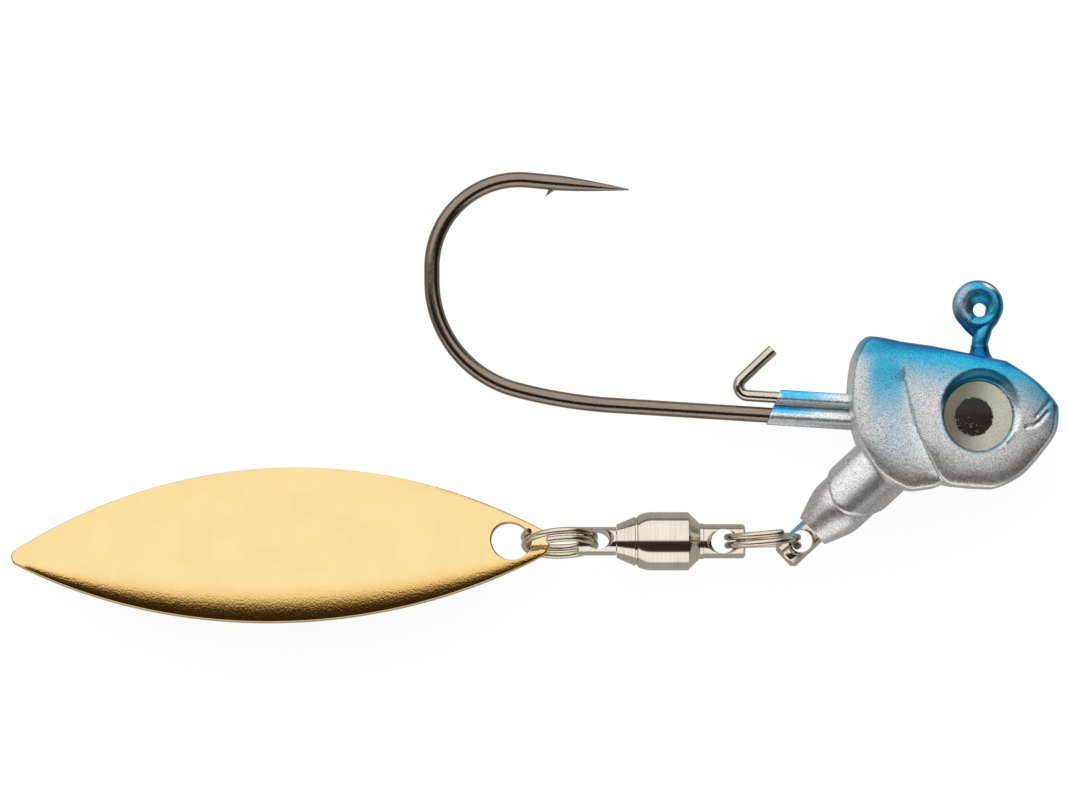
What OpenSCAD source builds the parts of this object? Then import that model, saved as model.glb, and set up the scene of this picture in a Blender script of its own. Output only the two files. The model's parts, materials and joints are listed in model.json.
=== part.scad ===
// Underspin jig head: a painted lead fish head cast on a jig hook, with a willow-leaf blade that
// spins below it on two split rings and a ball-bearing swivel.
// The part lies on its side: X runs to the nose, Y to the hook point and Z up, and its middle plane is Z = 0.
// The origin is the centre of the hole that the line is tied in.

/* [Line tie] */
// Radius of the hole that the line is tied in
tie_hole_r = 0.55; // [0.45:0.05:0.6]
// Outer radius of the painted eye
tie_eye_r = 2.05; // [1.95:0.05:2.3]
// Thickness of the paint web that narrows the hole
tie_web_t = 0.6; // [0.4:0.05:0.8]
// Paint on the eye and its stem
paint_t = 0.07; // [0.04:0.01:0.1]

/* [Hook] */
// Wire diameter
hook_wire_d = 1.24; // [1.12:0.02:1.3]
// From the line tie's hole down to the line of the shank
hook_stem_h = 9.48; // [9.2:0.04:10]
// Radius of the bend between stem and shank, on the wire's middle
hook_stem_bend_r = 2; // [1.6:0.1:2.4]
// Length of the straight shank, from the stem's line to the long curve before the heel
hook_shank_l = 29.4; // [26:0.2:34]
// Slope of the shank
hook_shank_slope = 3.6; // [2.4:0.1:5]
// Radius of the long curve before the heel
hook_ease_r = 40; // [30:1:50]
// Turn of that curve
hook_ease_turn = 11.4; // [8:0.2:14]
// Bend radius at the heel
hook_heel_r = 9; // [8:0.1:10]
// Length of the straight back between heel and throat
hook_back_l = 1.1; // [0.6:0.1:2]
// Bend radius at the throat, which leads to the point
hook_throat_r = 7; // [6:0.1:8]
// Length of the straight point
hook_point_l = 8.15; // [7.3:0.05:9.3]
// Angle by which the point leans back to the shank
hook_point_droop = 5.4; // [3:0.2:7]
// Length of the ground taper
hook_taper_l = 5.9; // [5:0.1:6.5]
// Length of the barb
barb_l = 0.95; // [0.8:0.05:1.2]

/* [Bait keeper] */
// Wire diameter
keeper_wire_d = 0.92; // [0.8:0.02:1]
// Height of its straight leg over the shank, between the wires' middles
keeper_rise = 1.46; // [1.36:0.02:1.56]
// From the stem's line to the bend
keeper_reach = 18.7; // [18:0.1:20]
// Bend radius, on the wire's middle
keeper_bend_r = 0.76; // [0.6:0.02:0.9]
// Length of the slanted free leg
keeper_leg_l = 3.45; // [3:0.05:4.5]
// Turn from the straight leg to the slanted one
keeper_turn = 133; // [125:1:140]

/* [Head] */
// Length from the gill edge to the nose
head_l = 16.6; // [16:0.1:17.4]
// Height from the jaw to the top of the gill
head_h = 12.2; // [11.8:0.1:12.8]
// Thickness across the cheeks
head_w = 9; // [8.6:0.1:10]
// Thickness across the gill plates
gill_w = 8.2; // [7.8:0.1:8.4]
// Thickness near the nose
nose_w = 6.4; // [5.4:0.1:7.4]
// From the stem's line to the end of the collar that covers shank and keeper
collar_l = 16.6; // [14:0.1:17]
// Wall of the collar round each wire
collar_t = 0.1; // [0.08:0.01:0.16]

/* [Eyes] */
// Diameter of the eye
eye_d = 5.5; // [5:0.1:5.8]
// Height of the dome over its rim
eye_dome_h = 0.95; // [0.7:0.05:1.2]
// Height of the dome's straight rim
eye_rim_h = 0.25; // [0.15:0.05:0.4]
// Thickness of the printed film
eye_film_t = 0.12; // [0.08:0.02:0.2]
// Depth of the film below the cheek
eye_sink = 0.5; // [0.4:0.05:0.6]
// Lean of the eye to the nose
eye_lean = 4; // [2:1:7]

/* [Arm and hanger] */
// Angle of the arm below the line of the blade
arm_angle = 43; // [38:1:48]
// Length of the arm from the gill plate's edge
arm_l = 7.1; // [6.4:0.1:8]
// Diameter of the arm's lower segment
arm_d = 4.7; // [4.4:0.1:5]
// Diameter of the arm at its end
arm_end_d = 2.93; // [2.8:0.05:3.3]
// Step from the lower segment out to the upper one
arm_step = 0.28; // [0.2:0.01:0.35]
// Diameter of the hanger rod
hanger_d = 2.3; // [2.2:0.05:2.4]
// Diameter of the hole across the hanger rod
hanger_hole_d = 1.8; // [1.75:0.05:1.9]
// From the end of the arm to that hole's middle
hanger_stand = 1.2; // [1.1:0.05:1.6]
// From that hole's middle to the rod's end
hanger_nose = 2; // [1.8:0.05:2.2]
// Length of rod inside the arm
hanger_root_l = 4.5; // [3.5:0.1:5.5]

/* [Split rings] */
// Wire diameter
ring_wire_d = 0.58; // [0.5:0.02:0.6]
// Outer diameter
ring_d = 6.22; // [6:0.02:6.6]
// Distance between the two turns, on the wire's middle
ring_pitch = 0.7; // [0.68:0.01:0.74]
// Angle that the wire goes round
ring_angle = 684; // [640:4:690]

/* [Swivel] */
// Diameter of the barrel
barrel_d = 4.68; // [4.6:0.02:5]
// Diameter of the front eye's post
front_post_d = 2.75; // [2.7:0.05:2.85]
// Diameter of the hole across the front post
front_hole_d = 2; // [1.95:0.05:2.1]
// Diameter of the rear eye's post
rear_post_d = 2.3; // [2.2:0.05:2.4]
// Diameter of the hole across the rear post
rear_hole_d = 1.8; // [1.75:0.05:1.9]
// From each hole's middle to its post's end
post_nose = 1.72; // [1.6:0.04:2]
// From the front hole's middle to the barrel's cone
front_neck = 1.9; // [1.8:0.05:2.2]
// Length of the front cone
cone_l = 0.92; // [0.8:0.04:1.2]
// Length of the barrel with its rounded rear shoulder
barrel_l = 4.05; // [3.95:0.05:4.6]
// Length of the coned cap outside the barrel
cap_l = 1.68; // [1.5:0.04:2]
// From the cap's end to the rear hole's middle
rear_neck = 1.45; // [1.3:0.05:1.8]
// Diameter of the bearing balls
ball_d = 0.8; // [0.7:0.05:0.85]
// Diameter of the shaft's stem inside the cap
stem_d = 1.5; // [1.4:0.05:1.6]

/* [Blade] */
// Length from tip to rounded end
blade_l = 43.2; // [41:0.2:46]
// Width at its widest
blade_w = 12.9; // [12:0.1:13.8]
// From the tip to the widest place
blade_belly = 21.9; // [21:0.1:23.5]
// Radius of the tip
blade_tip_r = 0.7; // [0.4:0.1:1]
// Radius of the round end beyond the hole
blade_end_r = 1.3; // [1:0.1:2]
// Thickness of the sheet
blade_t = 0.5; // [0.4:0.05:0.6]
// Diameter of the hole for the ring
blade_hole_d = 3.1; // [2.8:0.1:3.3]
// From that hole's middle to the rounded end
blade_hole_inset = 3.12; // [2.8:0.04:3.4]
// Radius of the cup across the blade
blade_cup_r = 16; // [13:0.5:18]
// Radius of the bow along the blade
blade_bow_r = 94; // [80:1:120]
// Turn of the rear eye, ring and blade about the swivel's axis
blade_roll = 19; // [0:1:25]
// Turn of the blade about its hole, tip down
blade_droop = 1.6; // [0:0.2:4]

/* [Fits] */
// Room between a ring's wire and the eye that it hangs in
ring_play = 0.08; // [0.06:0.01:0.1]
// Bevel at the rims of the rod eyes
eye_bevel = 0.35; // [0.3:0.05:0.4]
// Gap between cast metal and the wires in it
cast_gap = 0.02; // [0.01:0.01:0.04]
// Gap round pressed and glued pieces
seat_gap = 0.01; // [0.01:0.01:0.03]
// Running gap in the swivel
run_gap = 0.05; // [0.03:0.01:0.08]

/* [Hidden] */
$fn = 48;

// Facets round the wires
hook_sides = 14;
keeper_sides = 12;
ring_sides = 10;

// Line tie: paint pools above the hole, so the eye's middle lies off it
tie_eye_at = [-0.07, 0.166] * tie_eye_r;
painted_r = hook_wire_d / 2 + paint_t;
tie_ring_r = tie_eye_r - painted_r;

// Hook: corner of stem and shank, then the directions along the shank and square to it
hook_r = hook_wire_d / 2;
corner = [0, -hook_stem_h];
along = [-cos(hook_shank_slope), sin(hook_shank_slope)];
across = [sin(hook_shank_slope), cos(hook_shank_slope)];
stem_bend_at = corner + [-hook_stem_bend_r, hook_stem_bend_r * tan(45 + hook_shank_slope / 2)];
ease_at = corner + hook_shank_l * along + hook_ease_r * across;
heel_from = 270 - hook_shank_slope - hook_ease_turn;
heel_at = ease_at + (hook_ease_r - hook_heel_r) * [cos(heel_from), sin(heel_from)];
throat_at = heel_at + [hook_throat_r - hook_heel_r, hook_back_l];
point_at = throat_at + hook_throat_r * [sin(hook_point_droop), cos(hook_point_droop)];
point_tip_r = 0.05 * hook_wire_d;

// Head outlines, in hundredths of its length and height, from a point on the stem just over the shank
head_at = corner + [0, 0.02 * head_h];
gill_shape = [[-51, 58.3], [-56.2, 56.4], [-59.3, 50], [-62.2, 39], [-63.6, 16.4], [-61.9, -0.2],
  [-57.2, -18], [-49.4, -32.8], [-38, -42.1], [-29.5, -42.6], [-19.5, -38.3], [-9, -20.5], [-4.8, 8.2],
  [-10.8, 37.7], [-33, 52.5]];
cheek_shape = [[-50, 43], [-47.5, 18], [-38, -6], [-26.5, -27], [-18, -39.2], [-5.1, -41.6],
  [3.6, -42], [12, -38], [20.5, -30.7], [30, -16], [35.8, -4], [37, 9], [35.2, 16], [26.3, 28.9],
  [15.1, 39.3], [5.2, 46], [-9, 49.4], [-26.5, 53], [-40, 56.3], [-47, 55.5]];
gill_crease = [[-37.6, 36], [-38, 30], [-35.8, 16.4], [-32.9, 0], [-27.5, -16.4], [-24.5, -24.6],
  [-21.7, -32.8]];
mouth_line = [[32, 8], [29.5, 2], [25.5, -1.2], [23.1, -1.9]];
gill_mid = head_point([-33, 8]);
cheek_mid = head_point([0, 4]);
eye_at = head_point([-3.2, 6.2]);
cheek_mid_x = -0.14 * head_l;
cheek_back_x = -0.36 * head_l;
nose_x = 0.366 * head_l;
gill_mid_x = -0.3 * head_l;
gill_back_x = -0.636 * head_l;
gill_back_fall = 0.06 * gill_w;
outline_steps = 5;
lobe_rings = [0.4, 0.65, 0.78, 0.86, 0.91, 0.945, 0.97, 0.99, 1];
crease_r = 0.021 * gill_w;
mouth_r = 0.019 * head_w;

function head_point(share) = head_at + [share.x * head_l, share.y * head_h] / 100;
gill_edge = [for (p = smooth_loop(gill_shape, outline_steps)) head_point(p)];
cheek_edge = [for (p = smooth_loop(cheek_shape, outline_steps)) head_point(p)];

// Half thickness of each lobe at x, before its edge is rounded off
gill_half = function (x) gill_w / 2
  - gill_back_fall * pow(max(0, gill_mid_x - x) / (gill_mid_x - gill_back_x), 2);
cheek_half = function (x) head_w / 2
  - (head_w - nose_w) / 2 * pow(max(0, x - cheek_mid_x) / (nose_x - cheek_mid_x), 2)
  - (head_w - gill_w) / 2 * pow(max(0, cheek_mid_x - x) / (cheek_mid_x - cheek_back_x), 2);

// Eyes
eye_r = eye_d / 2;
eye_z = cheek_half(eye_at.x) - eye_sink;
dome_sphere_r = (eye_r * eye_r + eye_dome_h * eye_dome_h) / (2 * eye_dome_h);
dish_r = 1.53 * eye_r;
dish_h = 0.16 * eye_r;
dish_at = [0.06, 0.15] * eye_r;

// Arm: it leaves the gill plate's edge, with X along it
arm_at = head_point([-49.4, -29.6]);
arm_dir = [-cos(arm_angle), -sin(arm_angle)];
arm_root = 0.42 * arm_l;
hanger_at = arm_at + (arm_l + hanger_stand) * arm_dir;

// Chain of rings, swivel and blade: each piece is placed from the one that holds it
ring_wire_r = ring_wire_d / 2;
ring_r = ring_d / 2 - ring_wire_r;
ring_tilt = asin(ring_pitch / 2 / (2 * ring_r));
front_ring_at = hanger_at - [wire_seat(hanger_hole_d, hanger_d / 2 - eye_bevel) + ring_r, 0];
front_eye_at = front_ring_at - [ring_r + wire_seat(front_hole_d, front_post_d / 2 - eye_bevel), 0];
swivel_l = front_neck + cone_l + barrel_l + cap_l + rear_neck;
rear_eye_at = front_eye_at - [swivel_l, 0];
rear_ring_at = rear_eye_at - [wire_seat(rear_hole_d, rear_post_d / 2 - eye_bevel) + ring_r, 0];
blade_at = rear_ring_at - [ring_r + wire_seat(blade_hole_d, blade_t), 0];

// How far from a hole's middle a ring's wires lie when the chain is pulled straight.
// depth is half the length of the hole's wall: the ring's curve brings the wires nearer the wall there.
function wire_seat(hole_d, depth) =
  sqrt(pow(hole_d / 2 - ring_wire_r - ring_play, 2) - pow(ring_pitch / 2, 2))
  - (ring_r - sqrt(ring_r * ring_r - depth * depth));

// Swivel: lengths run back from the front hole's middle
barrel_r = barrel_d / 2;
cone_at = front_neck;
barrel_at = cone_at + cone_l;
barrel_end = barrel_at + barrel_l;
cap_end = barrel_end + cap_l;
shoulder_l = 1;
shoulder_drop = 0.3;
barrel_wall = 0.29;
cavity_r = barrel_r - shoulder_drop - barrel_wall;
cap_plug_l = 1.55;
race_at = barrel_end - cap_plug_l;
collar_w = 0.7;
collar_at = race_at - ball_d - 2 * run_gap - collar_w;
cavity_at = collar_at - 0.4;
ball_circle_r = (stem_d / 2 + cavity_r) / 2;
ball_count = floor(360 / (2 * asin((ball_d / 2 + run_gap / 2) / ball_circle_r)));

// Blade: on each side two long arcs meet at the widest place and run into a small round end
blade_half_w = blade_w / 2;
blade_tail = blade_l - blade_belly;
tip_side_r = side_r(blade_belly, blade_tip_r);
end_side_r = side_r(blade_tail, blade_end_r);
tip_side_turn = atan2(blade_belly - blade_tip_r, tip_side_r - blade_half_w);
end_side_turn = atan2(blade_tail - blade_end_r, end_side_r - blade_half_w);

// Radius of a side arc that covers the length run and touches a round end of radius end_r
function side_r(run, end_r) =
  (run * (run - 2 * end_r) + blade_half_w * blade_half_w) / (2 * (blade_half_w - end_r));

function unit(v) = v / norm(v);
function arc(mid, r, from, to, steps) =
  [for (i = [0:steps]) let (a = from + (to - from) * i / steps) mid + r * [cos(a), sin(a)]];

// A closed smooth curve through points, as a Catmull-Rom spline
function smooth_loop(points, steps) =
  [for (i = [0:len(points) - 1]) for (j = [0:steps - 1]) loop_point(points, i, j / steps)];
function loop_point(p, i, t) =
  let (n = len(p), a = p[(i + n - 1) % n], b = p[i], c = p[(i + 1) % n], d = p[(i + 2) % n])
  (2 * b + (c - a) * t + (2 * a - 5 * b + 4 * c - d) * t * t + (3 * b - a - 3 * c + d) * t * t * t) / 2;

// A round wire along points [x, y, z, radius], as one closed skin. up is never along the wire.
module wire(path, sides, up = [0, 0, 1], grow = 0) {
  n = len(path);
  mid = [for (p = path) [p[0], p[1], p[2]]];
  rings = [for (i = [0:n - 1])
    let (ahead = unit(mid[min(i + 1, n - 1)] - mid[max(i - 1, 0)]),
      side = unit(cross(ahead, up)), top = cross(side, ahead))
    for (k = [0:sides - 1])
      mid[i] + (path[i][3] + grow) * (cos(360 * k / sides) * side + sin(360 * k / sides) * top)];
  skin = [for (i = [0:n - 2]) for (k = [0:sides - 1])
    let (a = i * sides + k, b = i * sides + (k + 1) % sides)
    each [[a, b, b + sides], [a, b + sides, a + sides]]];
  start = [for (k = [0:sides - 1]) sides - 1 - k];
  finish = [for (k = [0:sides - 1]) (n - 1) * sides + k];
  polyhedron(points = rings, faces = concat(skin, [start, finish]), convexity = 8);
}

function flat_path(points, r) = [for (p = points) [p.x, p.y, 0, r]];

// The hook's wire from inside the line tie to the point
hook_path = concat(
  [[0, tie_eye_at.y - tie_ring_r, 0, painted_r / 2]],
  flat_path([[0, tie_eye_at.y - tie_ring_r - painted_r / 3]], painted_r),
  flat_path([[0, stem_bend_at.y + hook_wire_d]], painted_r),
  flat_path(arc(stem_bend_at, hook_stem_bend_r, 0, -90 - hook_shank_slope, 8), hook_r),
  flat_path(arc(ease_at, hook_ease_r, 270 - hook_shank_slope, heel_from + hook_ease_turn / 8, 7), hook_r),
  flat_path(arc(heel_at, hook_heel_r, heel_from, 180, 16), hook_r),
  flat_path(arc(throat_at, hook_throat_r, 180, 90 - hook_point_droop, 16), hook_r),
  [for (t = [0, 0.35, 0.7, 1]) let (p = point_on(hook_point_l - hook_taper_l * (1 - t)))
    [p.x, p.y, 0, point_tip_r + (hook_r - point_tip_r) * (1 - pow(t, 1.4))]]);
function point_on(s) = point_at + s * [cos(hook_point_droop), -sin(hook_point_droop)];

// The keeper's wire: a leg along the shank from inside the head, a tight bend and a free slanted leg
function shank_point(u, w) = corner + u * along + w * across;
keeper_root = 0.45 * head_l;
keeper_bend = [for (p = arc([keeper_reach, keeper_rise + keeper_bend_r], keeper_bend_r, -90,
  keeper_turn - 90, 10)) shank_point(p.x, p.y)];
keeper_end = keeper_bend[10]
  + keeper_leg_l * (cos(keeper_turn) * along + sin(keeper_turn) * across);
keeper_path = flat_path(concat([shank_point(keeper_root, keeper_rise)], keeper_bend, [keeper_end]),
  keeper_wire_d / 2);

module hook() {
  color("#3d352f") difference() {
    union() {
      wire(hook_path, hook_sides);
      translate(tie_eye_at) {
        rotate_extrude() translate([tie_ring_r, 0]) circle(painted_r);
        cylinder(h = tie_web_t, r = tie_ring_r, center = true);
      }
      barb();
    }
    cylinder(h = 4 * hook_wire_d, r = tie_hole_r, center = true);
  }
}

// The barb is a sliver raised from the wire where the taper starts
module barb() {
  barb_w = 0.32 * hook_wire_d;
  barb_base = 0.6 * hook_wire_d;
  barb_lift = 45;
  translate(point_on(hook_point_l - hook_taper_l)) rotate(-hook_point_droop)
    linear_extrude(barb_w, center = true)
      polygon([[barb_base / 2, -hook_r / 2], [-barb_base / 2, -hook_r / 2],
        [-barb_l * cos(barb_lift), -0.75 * hook_r - barb_l * sin(barb_lift)]]);
}

module bait_keeper() {
  color("#b5afa6") wire(keeper_path, keeper_sides);
}

// A lobe with its mirror image below the middle plane: a flat face that falls away and rounds off at its edge
function dome(v) = (1 - 0.1 * pow(v, 8)) * sqrt(max(0, 1 - pow(v, 40)));
module lobe(edge, mid, half) {
  n = len(edge);
  m = len(lobe_rings);
  top = [for (v = lobe_rings) for (q = edge)
    let (p = mid + v * (q - mid)) [p.x, p.y, half(p.x) * dome(v)]];
  below = [for (i = [0:(m - 1) * n - 1]) [top[i].x, top[i].y, -top[i].z]];
  crown = [mid.x, mid.y, half(mid.x)];
  low = m * n + 1;
  function upper(i, k) = 1 + i * n + k % n;
  function under(i, k) = i == m - 1 ? upper(i, k) : low + 1 + i * n + k % n;
  faces = [for (k = [0:n - 1]) each concat(
    [[0, upper(0, k + 1), upper(0, k)], [low, under(0, k), under(0, k + 1)]],
    [for (i = [0:m - 2]) each [
      [upper(i, k), upper(i, k + 1), upper(i + 1, k + 1)],
      [upper(i, k), upper(i + 1, k + 1), upper(i + 1, k)],
      [under(i, k), under(i + 1, k + 1), under(i, k + 1)],
      [under(i, k), under(i + 1, k), under(i + 1, k + 1)]]])];
  polyhedron(points = concat([crown], top, [[crown.x, crown.y, -crown.z]], below), faces = faces,
    convexity = 4);
}

// Share of the way from a lobe's middle to its edge, at p
function edge_share(edge, mid, p) = max([for (k = [0:len(edge) - 1])
  let (q = edge[k], e = edge[(k + 1) % len(edge)] - q, out = [e.y, -e.x])
  (out * (p - mid)) / (out * (q - mid))]);
function lobe_z(edge, mid, half, p) = half(p.x) * dome(min(1, edge_share(edge, mid, p)));
function head_z(p) = max(lobe_z(gill_edge, gill_mid, gill_half, p),
  lobe_z(cheek_edge, cheek_mid, cheek_half, p));

// A groove of round section along points on both sides of the head
module engrave(path, r) {
  for (side = [1, -1]) for (i = [0:len(path) - 2]) hull() for (p = [path[i], path[i + 1]])
    translate([p.x, p.y, side * head_z(p)]) sphere(r, $fn = 10);
}

// Places its children on each cheek's eye seat, with Z out of the cheek
module on_eye(side) {
  mirror([0, 0, side > 0 ? 0 : 1]) translate([eye_at.x, eye_at.y, eye_z]) rotate([0, eye_lean, 0])
    children();
}

module eye_socket() {
  cylinder(h = eye_r, r = eye_r + cast_gap);
  translate([dish_at.x, dish_at.y, eye_film_t + eye_rim_h / 2])
    cylinder(h = dish_h, r1 = eye_r, r2 = dish_r);
}

// Places its children at the arm's root, with X along the arm and Z up
module on_arm() {
  translate(arm_at) rotate(180 + arm_angle) children();
}

// A lower segment that tapers to its end, and an upper one that overlaps it with a rounded tongue
module arm() {
  arm_r = arm_d / 2;
  tongue_at = [0.14 * arm_l, -0.04 * arm_d];
  tongue_l = 0.485 * arm_l;
  tongue_half_w = 0.6 * arm_d;
  on_arm() {
    rotate([0, 90, 0]) rotate_extrude() polygon([[0, -arm_root], [arm_r, -arm_root], [arm_r, 0.58 * arm_l],
      [0.96 * arm_r, 0.69 * arm_l], [0.84 * arm_r, 0.81 * arm_l], [arm_end_d / 2, arm_l], [0, arm_l]]);
    intersection() {
      rotate([0, 90, 0]) translate([0, 0, -arm_root]) cylinder(h = 3 * arm_root, r = arm_r + arm_step);
      linear_extrude(2 * arm_d, center = true) union() {
        translate(tongue_at) scale([tongue_l, tongue_half_w]) circle(1);
        translate([-arm_root, -tongue_half_w]) square([arm_root + tongue_at.x, 2 * tongue_half_w]);
      }
    }
  }
}

// Metal that runs out along shank and keeper, and up the stem
module collar() {
  collar_from = 0.48 * head_l;
  turn = 180 - hook_shank_slope;
  for (run = [[0, hook_r], [keeper_rise, keeper_wire_d / 2]])
    translate(shank_point(collar_from, run[0])) rotate([0, 90, turn])
      cylinder(h = collar_l - collar_from, r = run[1] + collar_t);
  web_w = 1.1 * hook_r;
  web_inset = 0.25 * web_w;
  translate(shank_point(collar_from, 0)) rotate([0, 0, turn])
    translate([web_inset, -keeper_rise, -web_w / 2])
      cube([collar_l - collar_from - 2 * web_inset, keeper_rise, web_w]);
  stem_neck_top = head_at.y + 0.5 * head_h;
  stem_neck_l = 1.6 * painted_r;
  translate([0, stem_neck_top, 0]) rotate([90, 0, 0])
    cylinder(h = stem_neck_l, r1 = 1.06 * painted_r, r2 = 2 * painted_r);
}

module head_casting() {
  color("#7fb4d6") difference() {
    union() {
      lobe(gill_edge, gill_mid, gill_half);
      lobe(cheek_edge, cheek_mid, cheek_half);
      arm();
      collar();
    }
    engrave([for (p = gill_crease) head_point(p)], crease_r);
    engrave([for (p = mouth_line) head_point(p)], mouth_r);
    for (side = [1, -1]) on_eye(side) eye_socket();
    wire(hook_path, hook_sides, grow = cast_gap);
    wire(keeper_path, keeper_sides, grow = cast_gap);
    on_arm() hanger_rod(cast_gap);
  }
}

// The hanger's rod along X, with a waist that the cast metal grips
module hanger_rod(grow = 0) {
  r = hanger_d / 2 + grow;
  waist_r = 0.75 * hanger_d / 2 + grow;
  root = arm_l - hanger_root_l - grow;
  waist_at = arm_l - 0.7 * hanger_root_l + grow;
  waist_l = 0.3 * hanger_root_l - 2 * grow;
  end = arm_l + hanger_stand + hanger_nose;
  bevel = 0.13 * hanger_d;
  rotate([0, 90, 0]) rotate_extrude() polygon([[0, root], [r, root], [r, waist_at], [waist_r, waist_at],
    [waist_r, waist_at + waist_l], [r, waist_at + waist_l], [r, end - bevel], [r - bevel, end], [0, end]]);
}

// A hole across a rod of radius rod_r, along Z, with bevelled rims
module cross_hole(hole_d, rod_r) {
  hole_r = hole_d / 2;
  cylinder(h = 4 * rod_r, r = hole_r, center = true);
  for (side = [0, 1]) mirror([0, 0, side]) translate([0, 0, rod_r - eye_bevel])
    cylinder(h = 2 * eye_bevel, r1 = hole_r, r2 = hole_r + 2 * eye_bevel);
}

module hanger_eye() {
  color("#b9b3aa") difference() {
    on_arm() hanger_rod();
    translate(hanger_at) cross_hole(hanger_hole_d, hanger_d / 2);
  }
}

module eye_film() {
  cylinder(h = eye_film_t, r = eye_r);
}

module eye_dome() {
  translate([0, 0, eye_film_t + seat_gap]) intersection() {
    cylinder(h = eye_rim_h + eye_dome_h, r = eye_r);
    translate([0, 0, eye_rim_h + eye_dome_h - dome_sphere_r]) sphere(dome_sphere_r);
  }
}

module near_eye_film() {
  color("#d9d8c4") on_eye(1) eye_film();
}

module near_eye_dome() {
  color("#e8e8dc", 0.4) on_eye(1) eye_dome();
}

module far_eye_film() {
  color("#d9d8c4") on_eye(-1) eye_film();
}

module far_eye_dome() {
  color("#e8e8dc", 0.4) on_eye(-1) eye_dome();
}

// A split ring round Y: one wire that goes nearly twice round and climbs one pitch a turn.
// start is the angle of its upper end, from X towards Z. The tilt levels the two ends of the chain.
module split_ring(start) {
  steps = 57;
  middle_turn = 450;
  path = [for (i = [0:steps]) let (a = start + ring_angle * i / steps)
    [ring_r * cos(a), ring_pitch * (middle_turn - a) / 360, ring_r * sin(a), ring_wire_r]];
  rotate(ring_tilt) wire(path, ring_sides, up = [0, 1, 0]);
}

module front_split_ring() {
  color("#a39c92") translate(front_ring_at) split_ring(57);
}

// Places its children at the front eye, with Z back along the swivel and X up
module on_swivel() {
  translate(front_eye_at) rotate([0, -90, 0]) children();
}

module swivel_barrel() {
  post_r = front_post_d / 2;
  land_r = post_r + 0.06;
  land_l = 0.28;
  bevel = 0.15;
  lip_r = barrel_r - shoulder_drop;
  color("#bcb6ad") difference() {
    on_swivel() rotate_extrude() polygon([[0, -post_nose], [post_r - bevel, -post_nose],
      [post_r, bevel - post_nose], [post_r, cone_at - land_l], [land_r, cone_at - land_l], [land_r, cone_at],
      [barrel_r, barrel_at], [barrel_r, barrel_end - shoulder_l],
      [barrel_r - 0.2 * shoulder_drop, barrel_end - 0.6 * shoulder_l],
      [barrel_r - 0.5 * shoulder_drop, barrel_end - 0.28 * shoulder_l], [lip_r, barrel_end],
      [cavity_r, barrel_end], [cavity_r, cavity_at], [0, cavity_at]]);
    translate(front_eye_at) cross_hole(front_hole_d, post_r);
  }
}

// The cap's plug is pressed into the barrel, and its cone stands out behind a narrow groove
module swivel_cap() {
  bore_r = stem_d / 2 + run_gap;
  plug_r = cavity_r - seat_gap;
  rim_r = barrel_r - shoulder_drop - 0.06;
  neck_r = rim_r - 0.08;
  neck_at = barrel_end + seat_gap;
  neck_l = 0.2;
  color("#b5aea5") on_swivel() rotate_extrude() polygon([[bore_r, race_at], [plug_r, race_at],
    [plug_r, neck_at], [neck_r, neck_at], [neck_r, neck_at + neck_l], [rim_r, neck_at + neck_l],
    [rear_post_d / 2 + 0.2, cap_end], [bore_r, cap_end]]);
}

module thrust_collar() {
  color("#8f8a84") on_swivel() translate([0, 0, collar_at]) difference() {
    cylinder(h = collar_w, r = cavity_r - 2 * run_gap);
    translate([0, 0, -collar_w]) cylinder(h = 3 * collar_w, r = stem_d / 2 + seat_gap);
  }
}

module bearing_balls() {
  color("#d8d8d8") on_swivel() for (i = [0:ball_count - 1]) rotate(360 * i / ball_count)
    translate([ball_circle_r, 0, race_at - run_gap - ball_d / 2]) sphere(d = ball_d);
}

// Places its children on the swivel's axis, turned as the rear eye, ring and blade lie
module rolled(at) {
  translate(at) rotate([-blade_roll, 0, 0]) children();
}

module swivel_shaft() {
  post_r = rear_post_d / 2;
  bevel = 0.15;
  color("#b1aaa1") difference() {
    on_swivel() rotate_extrude() polygon([[0, collar_at - seat_gap], [stem_d / 2, collar_at - seat_gap],
      [stem_d / 2, cap_end + run_gap], [post_r, cap_end + run_gap], [post_r, swivel_l + post_nose - bevel],
      [post_r - bevel, swivel_l + post_nose], [0, swivel_l + post_nose]]);
    rolled(rear_eye_at) cross_hole(rear_hole_d, post_r);
  }
}

module rear_split_ring() {
  color("#a39c92") rolled(rear_ring_at) split_ring(148);
}

// The blade's outline from its hole's middle, tip to the left
function blade_outline() = let (
    belly_x = blade_hole_inset - blade_tail,
    tip = arc([belly_x - blade_belly + blade_tip_r, 0], blade_tip_r, 180, 90 + tip_side_turn, 3),
    fore = arc([belly_x, blade_half_w - tip_side_r], tip_side_r, 90 + tip_side_turn, 90, 12),
    aft = arc([belly_x, blade_half_w - end_side_r], end_side_r, 90, 90 - end_side_turn, 12),
    end = arc([blade_hole_inset - blade_end_r, 0], blade_end_r, 90 - end_side_turn, 0, 6),
    upper = concat(tip, [for (i = [1:12]) fore[i]], [for (i = [1:12]) aft[i]], [for (i = [1:6]) end[i]]))
  concat(upper, [for (i = [len(upper) - 2:-1:1]) [upper[i].x, -upper[i].y]]);

// A cupped sheet: the outline cut from the outer skin of a large ring
module blade() {
  belly_x = blade_hole_inset - blade_tail;
  hole_drop = blade_bow_r - sqrt(blade_bow_r * blade_bow_r - belly_x * belly_x);
  room = blade_w;
  color("#d9a935") rolled(blade_at) rotate(blade_droop) difference() {
    intersection() {
      linear_extrude(room, center = true) polygon(blade_outline());
      translate([belly_x, 0, blade_t / 2 + hole_drop - blade_bow_r]) rotate([90, 0, 0])
        rotate_extrude($fn = 256) translate([blade_bow_r - blade_cup_r, 0]) rotate(180) difference() {
          circle(blade_cup_r);
          circle(blade_cup_r - blade_t);
        }
    }
    cylinder(h = room, r = blade_hole_d / 2, center = true);
  }
}

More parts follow.
